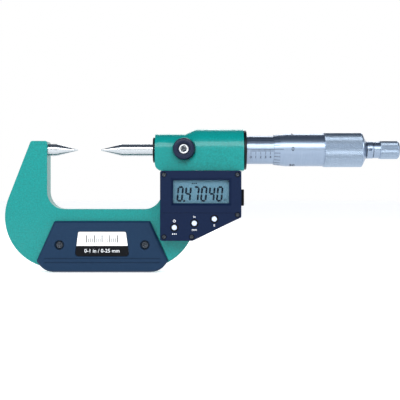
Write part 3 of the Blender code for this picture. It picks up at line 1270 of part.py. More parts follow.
def make_ratchet():
    neck_end = RATCHET_X + RATCHET_NECK_LENGTH
    post_end = neck_end + RATCHET_POST_LENGTH
    knob_end = KNOB_X + KNOB_LENGTH
    screw_bore = RATCHET_SCREW_BORE
    bore_floor = neck_end + POST_BORE_FLOOR
    body = lathe(
        "ratchet_body",
        [
            (RATCHET_X - RATCHET_STUD_LENGTH, 0),
            (RATCHET_X - RATCHET_STUD_LENGTH, RATCHET_STUD_RADIUS),
            (RATCHET_X, RATCHET_STUD_RADIUS),
            (RATCHET_X, RATCHET_NECK_RADIUS),
            (neck_end, RATCHET_NECK_RADIUS),
            (neck_end, RATCHET_POST_RADIUS),
            (post_end, RATCHET_POST_RADIUS),
            (post_end, screw_bore),
            (bore_floor, screw_bore),
            (bore_floor, 0),
        ],
        CHROME,
        on_axis(),
    )
    hole = lathe(
        "spanner_hole",
        rod(RATCHET_NECK_RADIUS - SPANNER_HOLE_DEPTH, RATCHET_NECK_RADIUS + CUT_PAST, SPANNER_HOLE_RADIUS),
        at=(RATCHET_X + RATCHET_NECK_LENGTH / 2, 0, AXIS_Z),
        turned_to=TO_FRONT,
        segments=TINY,
        cutter=True,
    )
    cut(body, hole)

    clutch_start = KNOB_X
    clutch_end = clutch_start + CLUTCH_LENGTH
    clutch = tube(clutch_start, clutch_end, CLUTCH_RADIUS, RATCHET_POST_RADIUS + RUNNING_GAP)
    lathe("ratchet_clutch", clutch, STEEL, on_axis())
    make_ratchet_spring(clutch_end + CLUTCH_TRAVEL + GAP, post_end)

    pocket_x = knob_end - SCREW_POCKET_DEPTH
    inner_x = pocket_x - KNOB_WEB
    lathe(
        "ratchet_knob",
        [
            (KNOB_X, KNOB_COLLAR_RADIUS),
            (KNOB_X + KNOB_COLLAR_LENGTH, KNOB_COLLAR_RADIUS),
            (KNOB_X + KNOB_COLLAR_LENGTH, KNOB_RADIUS),
            (knob_end - KNOB_CHAMFER, KNOB_RADIUS),
            (knob_end, KNOB_RADIUS - KNOB_CHAMFER),
            (knob_end, SCREW_POCKET_RADIUS),
            (pocket_x, SCREW_POCKET_RADIUS),
            (pocket_x, screw_bore + RUNNING_GAP),
            (inner_x, screw_bore + RUNNING_GAP),
            (inner_x, KNOB_BORE_RADIUS),
            (KNOB_X, KNOB_BORE_RADIUS),
        ],
        CHROME,
        on_axis(),
    )
    shank = screw_bore - RUNNING_GAP
    head = SCREW_POCKET_RADIUS - GAP
    head_end = pocket_x + GAP + RATCHET_SCREW_HEAD_HEIGHT
    lathe(
        "ratchet_screw",
        [
            (bore_floor + SCREW_TIP_ROOM, 0),
            (bore_floor + SCREW_TIP_ROOM, shank),
            (pocket_x + GAP, shank),
            (pocket_x + GAP, head),
            (head_end, head),
            (head_end, 0),
        ],
        BLACK_STEEL,
        on_axis(),
    )


def make_ratchet_spring(start, end):
    """A helix of wire around the post, drawn as a thin curve with its ends capped."""
    curve = bpy.data.curves.new("ratchet_spring", "CURVE")
    curve.dimensions = "3D"
    curve.bevel_depth = RATCHET_SPRING_WIRE
    curve.bevel_resolution = 1
    curve.use_fill_caps = True
    spline = curve.splines.new("POLY")
    count = 12 * RATCHET_SPRING_TURNS
    spline.points.add(count)
    low, high = start + RATCHET_SPRING_WIRE, end - RATCHET_SPRING_WIRE
    for i, point in enumerate(spline.points):
        angle = 2 * math.pi * i / 12
        along = low + (high - low) * i / count
        round_y = RATCHET_SPRING_RADIUS * math.cos(angle)
        round_z = RATCHET_SPRING_RADIUS * math.sin(angle)
        point.co = (along, round_y, round_z, 1)
    place(bpy.data.objects.new("ratchet_spring", curve), STEEL, on_axis())


# ---- Spindle lock


def make_lock():
    at = (LOCK_X, 0, AXIS_Z)
    knob_base = LOCK_FLOOR + GAP
    knob_top = knob_base + LOCK_KNOB_HEIGHT
    pocket = knob_top - LOCK_HEAD_HEIGHT - 2 * GAP
    edge = LOCK_KNOB_EDGE
    lathe(
        "lock_knob",
        [
            (knob_base, LOCK_KNOB_RADIUS),
            (knob_top - edge, LOCK_KNOB_RADIUS),
            (knob_top, LOCK_KNOB_RADIUS - edge),
            (knob_top, LOCK_HEAD_RADIUS + GAP),
            (pocket, LOCK_HEAD_RADIUS + GAP),
            (pocket, LOCK_SCREW_RADIUS + RUNNING_GAP),
            (knob_base, LOCK_SCREW_RADIUS + RUNNING_GAP),
        ],
        BOX_PLASTIC,
        at,
        TO_FRONT,
        FINE,
    )
    shoe_start = SPINDLE_RADIUS + GAP
    shoe_end = shoe_start + LOCK_SHOE_LENGTH
    screw_end = shoe_end + GAP
    lathe(
        "lock_screw",
        [
            (screw_end, 0),
            (screw_end, LOCK_SCREW_RADIUS),
            (pocket + GAP, LOCK_SCREW_RADIUS),
            (pocket + GAP, LOCK_HEAD_RADIUS),
            (pocket + GAP + LOCK_HEAD_HEIGHT, LOCK_HEAD_RADIUS),
            (pocket + GAP + LOCK_HEAD_HEIGHT, 0),
        ],
        STEEL,
        at,
        TO_FRONT,
    )
    lathe("lock_shoe", rod(shoe_start, shoe_end, LOCK_SCREW_RADIUS - RUNNING_GAP), BRASS, at, TO_FRONT)


# ---- Assembly

for leftover in list(bpy.data.objects):
    bpy.data.objects.remove(leftover)

PARTS = new_collection("point_micrometer")
CUTTERS = new_collection("cutters")
ASSEMBLY = bpy.data.objects.new("micrometer_middle_plane", None)
PARTS.objects.link(ASSEMBLY)
ASSEMBLY.location = (0, MID_PLANE_Y, 0)

PAINT = make_material("green_paint", 37, 160, 158, 0.35)
GRIP_PLASTIC = make_material("grip_plastic", 48, 79, 111, 0.5)
BOX_PLASTIC = make_material("box_plastic", 32, 53, 88, 0.45)
BLACK_PLASTIC = make_material("black_plastic", 16, 20, 24, 0.45)
RUBBER = make_material("rubber", 22, 23, 25, 0.8)
STEEL = make_material("ground_steel", 200, 206, 210, 0.2, 1.0)
BLACK_STEEL = make_material("blackened_steel", 60, 66, 72, 0.4, 1.0)
CHROME = make_material("satin_chrome", 176, 190, 202, 0.35, 1.0)
BRASS = make_material("brass", 190, 160, 90, 0.35, 1.0)
COPPER = make_material("flex_copper", 190, 120, 60, 0.5)
BOARD = make_material("circuit_board", 20, 90, 50, 0.5)
LCD = make_material("lcd_glass", 110, 152, 168, 0.2)
CLEAR = make_material("clear_window", 200, 215, 220, 0.05)
LABEL = make_material("label_foil", 235, 238, 240, 0.4)
BUTTON = make_material("button_cap", 196, 212, 240, 0.4)

make_frame()
make_anvil()
make_barrel_fittings()
make_grips()
make_housing()
make_cover()
make_gasket()
make_cover_screws()
make_display()
make_buttons()
make_battery()
make_data_port()
make_encoder()
make_sleeve()
make_spindle()
make_thimble()
make_ratchet()
make_lock()
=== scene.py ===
# %% [markdown]
# # A digital point micrometer
# This lesson dresses a finished mechanical model of a measuring tool: a painted cast frame, two steel
# points, a plastic display box, a graduated sleeve and thimble, and a ratchet stop. The mechanical model
# is loaded first and is never moved. Plain pieces keep its meshes and get better surfaces. Pieces that
# show rounded edges, knurling or scales are modelled here and ride on the same bodies.

import json
import math

import bmesh
import bpy
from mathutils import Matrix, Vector

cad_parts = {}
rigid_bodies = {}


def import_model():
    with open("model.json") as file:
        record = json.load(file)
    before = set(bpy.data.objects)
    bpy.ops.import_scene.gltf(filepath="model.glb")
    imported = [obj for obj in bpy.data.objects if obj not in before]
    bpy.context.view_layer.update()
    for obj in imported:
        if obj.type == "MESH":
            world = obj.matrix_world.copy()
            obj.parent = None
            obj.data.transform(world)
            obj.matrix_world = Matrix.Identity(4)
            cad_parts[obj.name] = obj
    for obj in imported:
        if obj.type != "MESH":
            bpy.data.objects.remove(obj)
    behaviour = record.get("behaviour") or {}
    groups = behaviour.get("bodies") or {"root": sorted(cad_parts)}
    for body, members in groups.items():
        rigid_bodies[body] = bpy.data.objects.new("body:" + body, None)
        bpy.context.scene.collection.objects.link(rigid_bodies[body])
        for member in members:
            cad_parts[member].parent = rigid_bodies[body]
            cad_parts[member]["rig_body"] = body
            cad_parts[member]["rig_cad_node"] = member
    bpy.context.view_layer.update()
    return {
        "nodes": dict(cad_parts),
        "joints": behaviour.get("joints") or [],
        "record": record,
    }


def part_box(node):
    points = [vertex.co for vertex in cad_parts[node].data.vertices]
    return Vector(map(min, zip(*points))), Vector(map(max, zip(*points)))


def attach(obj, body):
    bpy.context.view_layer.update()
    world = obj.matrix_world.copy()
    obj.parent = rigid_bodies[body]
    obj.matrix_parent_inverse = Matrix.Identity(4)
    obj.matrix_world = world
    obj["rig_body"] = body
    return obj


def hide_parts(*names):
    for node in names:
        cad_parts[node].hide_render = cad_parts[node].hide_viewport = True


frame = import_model()
MM = 0.001

# %% [markdown]
# Every place in this lesson comes from the mechanical model. The measuring axis runs along X through the
# middle of the spindle, so the spindle's box gives its height and its depth.

# %% Places that everything else refers to
SPINDLE_LOW, SPINDLE_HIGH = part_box("spindle")
AXIS = Vector((0, (SPINDLE_LOW.y + SPINDLE_HIGH.y) / 2, (SPINDLE_LOW.z + SPINDLE_HIGH.z) / 2))
ALONG = Vector((1, 0, 0))
TO_FRONT = Vector((0, -1, 0))


def middle(node):
    """The middle of a node's box."""
    low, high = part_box(node)
    return (low + high) / 2


print("measuring axis at", [round(v / MM, 2) for v in AXIS])

# %% [markdown]
# Operators act on whatever is selected, and the loaded nodes start out selected. So each step first
# clears the selection, then picks its own piece. Faces, edges and points are picked by a test on where
# they are, which does by code what a modeller does with the mouse.

# %% Picking pieces, faces, edges and points
def nothing_picked():
    if bpy.context.object and bpy.context.object.mode != "OBJECT":
        bpy.ops.object.mode_set(mode="OBJECT")
    bpy.ops.object.select_all(action="DESELECT")


def pick(*pieces):
    nothing_picked()
    for piece in pieces:
        piece.select_set(True)
    bpy.context.view_layer.objects.active = pieces[0]


def choose(piece, kind, test):
    """In edit mode, selects the VERT, EDGE or FACE parts that the test accepts."""
    bpy.ops.mesh.select_mode(type=kind)
    bpy.ops.mesh.select_all(action="DESELECT")
    shape = bmesh.from_edit_mesh(piece.data)
    parts = {"VERT": shape.verts, "EDGE": shape.edges, "FACE": shape.faces}[kind]
    chosen = [part for part in parts if test(part)]
    for part in chosen:
        part.select_set(True)
    bmesh.update_edit_mesh(piece.data)
    return len(chosen)


def settle(piece):
    """Puts the piece's place into its mesh, so that the object itself sits at the origin."""
    pick(piece)
    bpy.ops.object.transform_apply(location=True, rotation=True, scale=True)
    return piece


def apply_modifiers(piece):
    pick(piece)
    for modifier in list(piece.modifiers):
        bpy.ops.object.modifier_apply(modifier=modifier.name)


# %% [markdown]
# Real edges are never perfectly sharp. A narrow bevel catches a line of light, and that line is most of
# what makes a machined or moulded piece look solid. Weighted normals keep the flat faces next to a bevel
# looking flat.

# %% Softening edges
EDGE_ANGLE = math.radians(32)
TINY_EDGE = 0.04 * MM
FINE_EDGE = 0.05 * MM


def soften(piece, width, steps=2):
    if width:
        bevel = piece.modifiers.new("edges", "BEVEL")
        bevel.width = width
        bevel.segments = steps
        bevel.limit_method = "ANGLE"
        bevel.angle_limit = EDGE_ANGLE
        apply_modifiers(piece)
    pick(piece)
    bpy.ops.object.shade_smooth_by_angle(angle=EDGE_ANGLE)
    even = piece.modifiers.new("even", "WEIGHTED_NORMAL")
    even.keep_sharp = True
    apply_modifiers(piece)
    return piece


def fit(piece, name, surface, body, slot, *stands_for):
    """Names a finished piece, gives it its surface and hangs it on its body."""
    nothing_picked()
    piece.name = name
    piece.data.materials.clear()
    piece.data.materials.append(surface)
    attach(piece, body)
    if stands_for:
        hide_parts(*stands_for)
    print(f"{name}: {len(piece.data.polygons)} faces on {body}")
    return piece


# %% [markdown]
# Cast and moulded pieces already have their shape in the mechanical model, as loose triangles. A copy is
# welded, its flat faces are joined up, and its edges are softened. That keeps every hole where it must be.

# %% Copying a mechanical piece
WELD = 0.001 * MM
FLAT_ENOUGH = math.radians(0.5)


def welded_copy(node):
    pick(frame["nodes"][node])
    bpy.ops.object.duplicate()
    piece = bpy.context.object
    piece.parent = None
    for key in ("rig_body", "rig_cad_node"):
        del piece[key]
    bpy.ops.object.mode_set(mode="EDIT")
    bpy.ops.mesh.select_all(action="SELECT")
    bpy.ops.mesh.remove_doubles(threshold=WELD)
    bpy.ops.mesh.dissolve_limited(angle_limit=FLAT_ENOUGH)
    bpy.ops.object.mode_set(mode="OBJECT")
    return piece


# %% [markdown]
# Most of this tool is turned on a lathe. The same thing is done here: one point is extruded along half
# of the outline, and the outline is spun round the axis. A profile is a list of (distance along the
# axis, radius). It may start and end on the axis, or close on itself to make a ring.

# %% Turning a piece
def turned(profile, foot, along, steps=96, edge=0.12 * MM):
    out = Vector((0, 0, 1))
    points = [foot + along * distance + out * radius for distance, radius in profile]
    nothing_picked()
    bpy.ops.mesh.primitive_plane_add(size=MM, location=points[0])
    piece = bpy.context.object
    settle(piece)
    bpy.ops.object.mode_set(mode="EDIT")
    bpy.ops.mesh.select_mode(type="VERT")
    bpy.ops.mesh.select_all(action="SELECT")
    bpy.ops.mesh.merge(type="CENTER")
    for here, there in zip(points, points[1:]):
        bpy.ops.mesh.extrude_region_move(TRANSFORM_OT_translate={"value": tuple(there - here)})
    if profile[0][1] > 0:
        ends = (points[0], points[-1])
        choose(piece, "VERT", lambda v: any((v.co - end).length < WELD for end in ends))
        bpy.ops.mesh.edge_face_add()
    bpy.ops.mesh.select_all(action="SELECT")
    bpy.ops.mesh.spin(steps=steps, angle=2 * math.pi, center=tuple(foot), axis=tuple(along))
    bpy.ops.mesh.select_all(action="SELECT")
    bpy.ops.mesh.remove_doubles(threshold=WELD)
    bpy.ops.mesh.normals_make_consistent(inside=False)
    bpy.ops.object.mode_set(mode="OBJECT")
    return soften(piece, edge)


# %% [markdown]
# ## Surfaces
# Each surface is a small tree of nodes. A noise in the object's own space gives the grain, and it drives
# three things at once: a slight change of colour, a change of gloss, and a shallow relief. Stretching
# the noise along one direction turns grain into brushing, and squeezing it along the lathe's axis gives
# the fine rings of a turned face.

# %% A surface with grain
def linear(channel):
    value = channel / 255
    return value / 12.92 if value <= 0.04045 else ((value + 0.055) / 1.055) ** 2.4


def colour(red, green, blue):
    return (linear(red), linear(green), linear(blue), 1.0)


def add_node(surface, kind, values=None, **settings):
    node = surface.node_tree.nodes.new(kind)
    for key, value in settings.items():
        setattr(node, key, value)
    for socket, value in (values or {}).items():
        node.inputs[socket].default_value = value
    return node


def grained(
    name,
    dark,
    light,
    scale,
    stretch=(1, 1, 1),
    gloss=(0.35, 0.5),
    relief=0.02 * MM,
    metallic=0.0,
    reflection=0.5,
):
    """A surface whose grain changes its colour from dark to light, its roughness and its relief."""
    surface = bpy.data.materials.new(name)
    surface.use_nodes = True
    link = surface.node_tree.links.new
    shader = surface.node_tree.nodes["Principled BSDF"]
    shader.inputs["Metallic"].default_value = metallic
    shader.inputs["Specular IOR Level"].default_value = reflection
    place = add_node(surface, "ShaderNodeTexCoord")
    squeeze = add_node(surface, "ShaderNodeMapping", {"Scale": stretch})
    grain = add_node(surface, "ShaderNodeTexNoise", {"Scale": scale, "Detail": 4.0, "Roughness": 0.6})
    tint = add_node(surface, "ShaderNodeMix", {"A": dark, "B": light}, data_type="RGBA")
    polish = add_node(surface, "ShaderNodeMapRange", {"To Min": gloss[0], "To Max": gloss[1]})
    bump = add_node(surface, "ShaderNodeBump", {"Strength": 0.6, "Distance": relief})
    link(place.outputs["Object"], squeeze.inputs["Vector"])
    link(squeeze.outputs["Vector"], grain.inputs["Vector"])
    link(grain.outputs["Fac"], tint.inputs[0])
    link(grain.outputs["Fac"], polish.inputs["Value"])
    link(grain.outputs["Fac"], bump.inputs["Height"])
    link(tint.outputs[2], shader.inputs["Base Color"])
    link(polish.outputs["Result"], shader.inputs["Roughness"])
    link(bump.outputs["Normal"], shader.inputs["Normal"])
    return surface


# %% [markdown]
# The frame wears hammertone enamel. The real paint pulls itself into shallow cells as it dries, so a
# cell pattern gives the relief, and a finer noise gives the flecks.

# %% Hammertone enamel
FLECKS = 1400
CELLS = 620
FLECK_RELIEF = 0.01 * MM
CELL_RELIEF = 0.09 * MM


def hammertone(name, dark, light):
    surface = grained(name, dark, light, FLECKS, gloss=(0.24, 0.38), relief=FLECK_RELIEF, reflection=0.2)
    link = surface.node_tree.links.new
    nodes = surface.node_tree.nodes
    values = {"Scale": CELLS, "Smoothness": 0.7}
    cells = add_node(surface, "ShaderNodeTexVoronoi", values, feature="SMOOTH_F1")
    link(nodes["Texture Coordinate"].outputs["Object"], cells.inputs["Vector"])
    dents = add_node(surface, "ShaderNodeBump", {"Strength": 0.45, "Distance": CELL_RELIEF}, invert=True)
    link(cells.outputs["Distance"], dents.inputs["Height"])
    link(nodes["Bump"].outputs["Normal"], dents.inputs["Normal"])
    shader = nodes["Principled BSDF"]
    link(dents.outputs["Normal"], shader.inputs["Normal"])
    shader.inputs["Coat Weight"].default_value = 0.25
    shader.inputs["Coat Roughness"].default_value = 0.12
    return surface


FRAME_PAINT = hammertone("hammertone_enamel", colour(0, 86, 84), colour(0, 154, 150))

# %% [markdown]
# Turned metal shows rings. Squeezing the noise hard along the lathe's axis draws them, and a metallic
# base gives the mirror. Pieces on the measuring axis turn about X, and screws and caps turn about Y.

# %% Metals
RINGS_X = (9.0, 0.25, 0.25)
RINGS_Y = (0.25, 9.0, 0.25)
RING_GRAIN = 700
RING_RELIEF = 0.004 * MM


def turned_metal(name, dark, light, rings, gloss):
    return grained(name, dark, light, RING_GRAIN, rings, gloss, RING_RELIEF, metallic=1.0)


POINT_STEEL = turned_metal(
    "ground_point_steel", colour(150, 156, 160), colour(206, 212, 216), RINGS_X, (0.14, 0.24)
)
SATIN_CHROME = turned_metal(
    "satin_chrome", colour(120, 137, 158), colour(154, 168, 187), RINGS_X, (0.28, 0.38)
)
KNURL_CHROME = turned_metal(
    "knurled_chrome", colour(116, 134, 154), colour(170, 184, 200), RINGS_X, (0.26, 0.36)
)
INNER_STEEL = turned_metal(
    "inner_steel", colour(140, 144, 148), colour(190, 194, 198), RINGS_X, (0.25, 0.4)
)
SCREW_STEEL = turned_metal(
    "blackened_screw_steel", colour(34, 38, 44), colour(84, 90, 98), RINGS_Y, (0.28, 0.42)
)
BRIGHT_SCREW = turned_metal(
    "bright_screw_steel", colour(190, 196, 200), colour(232, 236, 238), RINGS_Y, (0.15, 0.26)
)
BRASS = turned_metal("turned_brass", colour(150, 112, 48), colour(206, 170, 96), RINGS_X, (0.25, 0.38))
CELL_STEEL = turned_metal(
    "nickel_plate", colour(176, 176, 172), colour(216, 216, 212), RINGS_Y, (0.18, 0.3)
)

# %% [markdown]
# Moulded plastic has a fine spark-eroded texture, so its grain is small and even, and its gloss is low.

# %% Plastics, rubber and electronics
def moulded(name, dark, light, gloss, reflection=0.16, scale=2600):
    return grained(name, dark, light, scale, gloss=gloss, reflection=reflection)


GRIP_PLASTIC = moulded("grip_plastic", colour(12, 36, 60), colour(26, 52, 80), (0.4, 0.55), 0.12)
BOX_PLASTIC = moulded("box_plastic", colour(4, 18, 44), colour(13, 31, 62), (0.38, 0.52), 0.1)
BLACK_PLASTIC = moulded("black_plastic", colour(4, 6, 9), colour(14, 17, 22), (0.35, 0.5), 0.2)
KNOB_PLASTIC = moulded("knob_plastic", colour(6, 16, 40), colour(16, 30, 58), (0.3, 0.42), 0.22)
RUBBER = moulded("moulded_rubber", colour(8, 8, 9), colour(20, 20, 22), (0.7, 0.85), 0.12, 1800)
BOARD_GREEN = grained(
    "solder_mask", colour(6, 54, 26), colour(20, 92, 46), 900, (1, 1, 8), gloss=(0.3, 0.45)
)
FLEX_FILM = grained(
    "copper_film", colour(140, 78, 30), colour(204, 132, 66), 900, (9, 0.5, 0.5), gloss=(0.3, 0.4)
)
LABEL_FOIL = grained("label_foil", colour(236, 240, 242), colour(252, 253, 254), 3000, gloss=(0.3, 0.4))
LCD_GLASS = moulded(
    "reflective_display", colour(78, 116, 136), colour(98, 138, 156), (0.45, 0.55), 0.1, 5000
)
BUTTON_PLASTIC = grained(
    "button_plastic", colour(176, 198, 236), colour(214, 226, 250), 2400, gloss=(0.2, 0.3)
)
PRINT_BLACK = moulded("black_ink", colour(3, 5, 9), colour(12, 14, 20), (0.5, 0.6), 0.1, 4000)
PRINT_WHITE = grained("white_ink", colour(224, 230, 238), colour(248, 250, 252), 4000, gloss=(0.4, 0.55))
SEGMENT_INK = moulded("display_segment", colour(0, 8, 22), colour(6, 18, 36), (0.6, 0.7), 0.04, 4000)


# %% [markdown]
# The window is a clear sheet over the display. A low alpha lets the display show through, and a very
# smooth surface keeps the gloss.

# %% The window's surface
PANE_ALPHA = 0.06


def clear_pane(name):
    dark, light = colour(60, 74, 82), colour(74, 90, 98)
    surface = grained(name, dark, light, 800, gloss=(0.03, 0.07), relief=0.001 * MM)
    surface.node_tree.nodes["Principled BSDF"].inputs["Alpha"].default_value = PANE_ALPHA
    return surface


WINDOW = clear_pane("display_window_pane")
print("surfaces", len(bpy.data.materials))

# %% [markdown]
# Every piece of the mechanical model names the kind of finish that it has. A table from those names to
# the surfaces above dresses all of them at once, and the visible ones get a new piece later on.

# %% Surfaces for the pieces that keep their own mesh
KEPT = {
    "ground_steel": POINT_STEEL,
    "inner_steel": INNER_STEEL,
    "satin_chrome": SATIN_CHROME,
    "blackened_steel": SCREW_STEEL,
    "black_plastic": BLACK_PLASTIC,
    "rubber": RUBBER,
    "grip_plastic": GRIP_PLASTIC,
    "box_plastic": BOX_PLASTIC,
    "brass": BRASS,
    "board": BOARD_GREEN,
    "flex_film": FLEX_FILM,
    "lcd_glass": LCD_GLASS,
    "clear_window": WINDOW,
    "label_foil": LABEL_FOIL,
    "button_plastic": BUTTON_PLASTIC,
    "battery_steel": CELL_STEEL,
    "frame_paint": FRAME_PAINT,
}
for part in frame["record"]["subparts"]:
    mesh = frame["nodes"][part["node"]].data
    mesh.materials.clear()
    mesh.materials.append(KEPT[part["material_slot"]])

# %% [markdown]
# ## Frame
# The frame is a casting with a round barrel. Its outer rim is generously rounded, and everything else
# has a small edge, so the rim is bevelled first, on its own, and the rest afterwards.

# %% The painted frame
RIM_ROUND = 1.5 * MM
SADDLE_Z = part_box("display_cover")[1].z
SHARP_CORNER = math.radians(70)
HOLE_CLEARANCE = 3.2 * MM
SADDLE_CLEARANCE = 2 * MM
ARM_START = -60 * MM
HOLES = [middle(n) for n in frame["nodes"] if "_screw_" in n and "cover" not in n]


def on_rim(edge):
    """An outer edge of the flat plate, on its front or rear face, clear of the barrel and the screw holes."""
    if len(edge.link_faces) != 2 or edge.calc_face_angle(0) < SHARP_CORNER or not edge.is_convex:
        return False
    flat = [face for face in edge.link_faces if abs(face.normal.y) > 0.99]
    if len(flat) != 1:
        return False
    here = (edge.verts[0].co + edge.verts[1].co) / 2
    if any(math.hypot(here.x - hole.x, here.z - hole.z) < HOLE_CLEARANCE for hole in HOLES):
        return False
    return here.z < SADDLE_Z - SADDLE_CLEARANCE or here.x < ARM_START


body_casting = welded_copy("frame")
bpy.ops.object.mode_set(mode="EDIT")
rim_edges = choose(body_casting, "EDGE", on_rim)
bpy.ops.mesh.bevel(offset=RIM_ROUND, segments=4, clamp_overlap=True)
bpy.ops.object.mode_set(mode="OBJECT")
soften(body_casting, 0.25 * MM)
fit(body_casting, "painted_frame", FRAME_PAINT, "frame", "frame_paint", "frame")
print("rim edges", rim_edges)

# %% [markdown]
# ## Grip plates
# The plates keep the warmth of the hand away from the casting. They are moulded, with a chamfer all
# round and two grooves near the foot. A groove is a slot that a mill would cut, so a long block is taken
# away from the welded copy.

# %% Blocks and cutting
def block(low, high):
    """A plain block between two corners, to be cut away or shaped further."""
    nothing_picked()
    low, high = Vector(low), Vector(high)
    bpy.ops.mesh.primitive_cube_add(size=1, location=(low + high) / 2)
    piece = bpy.context.object
    piece.scale = high - low
    return settle(piece)


def cut_away(piece, cutter):
    cut = piece.modifiers.new("cut", "BOOLEAN")
    cut.object = cutter
    cut.solver = "EXACT"
    apply_modifiers(piece)
    pick(cutter)
    bpy.ops.object.delete()


# %% The two grip plates
GROOVE_DEPTH = 0.35 * MM
GROOVE_WIDTH = 0.5 * MM
GROOVE_HEIGHTS = (7.0 * MM, 4.9 * MM)
GROOVE_INSET = 4 * MM
for node, side in (("front_grip_plate", -1), ("rear_grip_plate", 1)):
    plate = welded_copy(node)
    low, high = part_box(node)
    face = low.y if side < 0 else high.y
    for height in GROOVE_HEIGHTS:
        near, far = sorted((face - side * GROOVE_DEPTH, face + side * MM))
        groove_low = (low.x + GROOVE_INSET, near, height - GROOVE_WIDTH / 2)
        groove_high = (high.x - GROOVE_INSET, far, height + GROOVE_WIDTH / 2)
        cut_away(plate, block(groove_low, groove_high))
    soften(plate, 0.2 * MM)
    fit(plate, node + "_moulding", GRIP_PLASTIC, "frame", "grip_plastic", node)

# %% [markdown]
# ## Label
# The range plate is a foil with a white field and a black band under it. The band is the lower part of
# the same outline, so a copy of the foil is cut along a line. A row of plain graduations fills the field.

# %% The label's black band and its graduations
LABEL_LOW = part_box("range_label")[0]
BAND_HEIGHT = 5.3 * MM
BAND_TOP = LABEL_LOW.z + BAND_HEIGHT
INK = 0.03 * MM

band = welded_copy("range_label")
bpy.ops.object.mode_set(mode="EDIT")
bpy.ops.mesh.select_all(action="SELECT")
bpy.ops.mesh.bisect(plane_co=(0, 0, BAND_TOP), plane_no=(0, 0, 1), clear_outer=True, use_fill=True)
bpy.ops.mesh.select_all(action="SELECT")
bpy.ops.transform.translate(value=(0, -INK, 0))
bpy.ops.object.mode_set(mode="OBJECT")
fit(soften(band, 0), "label_band", PRINT_BLACK, "frame", "label_foil")


def repeated(piece, count, offset):
    """A row of copies at a constant step, as one mesh."""
    row = piece.modifiers.new("row", "ARRAY")
    row.use_relative_offset = False
    row.use_constant_offset = True
    row.constant_offset_displace = offset
    row.count = count
    apply_modifiers(piece)
    return piece


def joined(pieces):
    pick(*pieces)
    bpy.ops.object.join()
    return bpy.context.object


RULE_STEP = 1.0 * MM
RULE_STEPS = 16
SHORT_TICK = (1, 2.2 * MM, 0.16 * MM)
LONG_TICK = (4, 3.8 * MM, 0.24 * MM)
TICKS_ABOVE_BAND = 1.7 * MM
rule_x = middle("range_label").x - RULE_STEPS / 2 * RULE_STEP
field_z = BAND_TOP + TICKS_ABOVE_BAND
rule = []
for every, height, half_width in (SHORT_TICK, LONG_TICK):
    low = (rule_x - half_width, LABEL_LOW.y - INK, field_z)
    tick = block(low, (rule_x + half_width, LABEL_LOW.y + INK, field_z + height))
    rule.append(repeated(tick, RULE_STEPS // every + 1, (RULE_STEP * every, 0, 0)))
fit(soften(joined(rule), 0), "label_graduations", PRINT_BLACK, "frame", "label_foil")

# %% [markdown]
# ## Lettering
# Only plain figures and units appear. Each text is made a mesh, stood up facing the front, and given a
# little thickness, so that it is a closed film of ink.

# %% Printing a text
def printed(text, size, centre, thickness=INK):
    """A text centred on a point of a front face, as a mesh."""
    nothing_picked()
    bpy.ops.object.text_add(location=centre, rotation=(math.pi / 2, 0, 0))
    piece = bpy.context.object
    piece.data.body = text
    piece.data.size = size
    piece.data.align_x = "CENTER"
    piece.data.align_y = "CENTER"
    piece.data.resolution_u = 3
    bpy.ops.object.convert(target="MESH")
    piece = settle(bpy.context.object)
    body = piece.modifiers.new("ink", "SOLIDIFY")
    body.thickness = thickness * 2
    body.offset = 0
    apply_modifiers(piece)
    return piece


RANGE_SIZE = 2.7 * MM
band_middle = (middle("range_label").x, LABEL_LOW.y - INK, (LABEL_LOW.z + BAND_TOP) / 2)
range_text = printed("0-1 in / 0-25 mm", RANGE_SIZE, band_middle)
fit(range_text, "range_text", PRINT_WHITE, "frame", "label_foil")

# %% [markdown]
# ## Display box
# The cover and the housing are moulded shells. The cover has a shallow parting line under the display.

# %% Cover and housing
COVER_LOW, COVER_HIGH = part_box("display_cover")
SEAM_Z = COVER_LOW.z + 14.2 * MM
SEAM_HALF = 0.12 * MM
SEAM_DEPTH = 0.2 * MM
SHELL_EDGE = 0.18 * MM

cover = welded_copy("display_cover")
seam_low = (COVER_LOW.x - MM, COVER_LOW.y - MM, SEAM_Z - SEAM_HALF)
seam_high = (COVER_HIGH.x + MM, COVER_LOW.y + SEAM_DEPTH, SEAM_Z + SEAM_HALF)
cut_away(cover, block(seam_low, seam_high))
soften(cover, SHELL_EDGE)
fit(cover, "cover_moulding", BOX_PLASTIC, "frame", "box_plastic", "display_cover")
housing = soften(welded_copy("display_housing"), SHELL_EDGE)
fit(housing, "housing_moulding", BOX_PLASTIC, "frame", "box_plastic", "display_housing")

# %% [markdown]
# ## Figures on the display
# A seven-segment figure is one bar with pointed ends, used seven times. The bar is modelled once, and
# each copy is moved into place. Upright bars lean a little, as on most small displays.

# %% One segment
LCD_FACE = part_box("lcd_panel")[0].y
FIGURE_HEIGHT = 7.0 * MM
FIGURE_WIDTH = 3.3 * MM
BAR = 1.0 * MM
LEAN = math.radians(6)


def bar(length):
    """A flat bar with pointed ends, lying along X at the origin."""
    piece = block((-length / 2, -INK, -BAR / 2), (length / 2, INK, BAR / 2))
    bpy.ops.object.mode_set(mode="EDIT")
    for side in (-1, 1):
        choose(piece, "FACE", lambda face: face.normal.x * side > 0.9)
        bpy.ops.mesh.extrude_region_move(TRANSFORM_OT_translate={"value": (side * BAR / 2, 0, 0)})
        bpy.ops.transform.resize(value=(1, 1, 0.02), center_override=(side * (length + BAR) / 2, 0, 0))
    bpy.ops.object.mode_set(mode="OBJECT")
    return piece


def placed_copy(piece, turn, move):
    """A copy with its own mesh, turned about the origin and then moved."""
    pick(piece)
    bpy.ops.object.duplicate()
    copy = bpy.context.object
    copy.rotation_euler = turn
    copy.location = move
    return settle(copy)


def remove(*pieces):
    pick(*pieces)
    bpy.ops.object.delete()


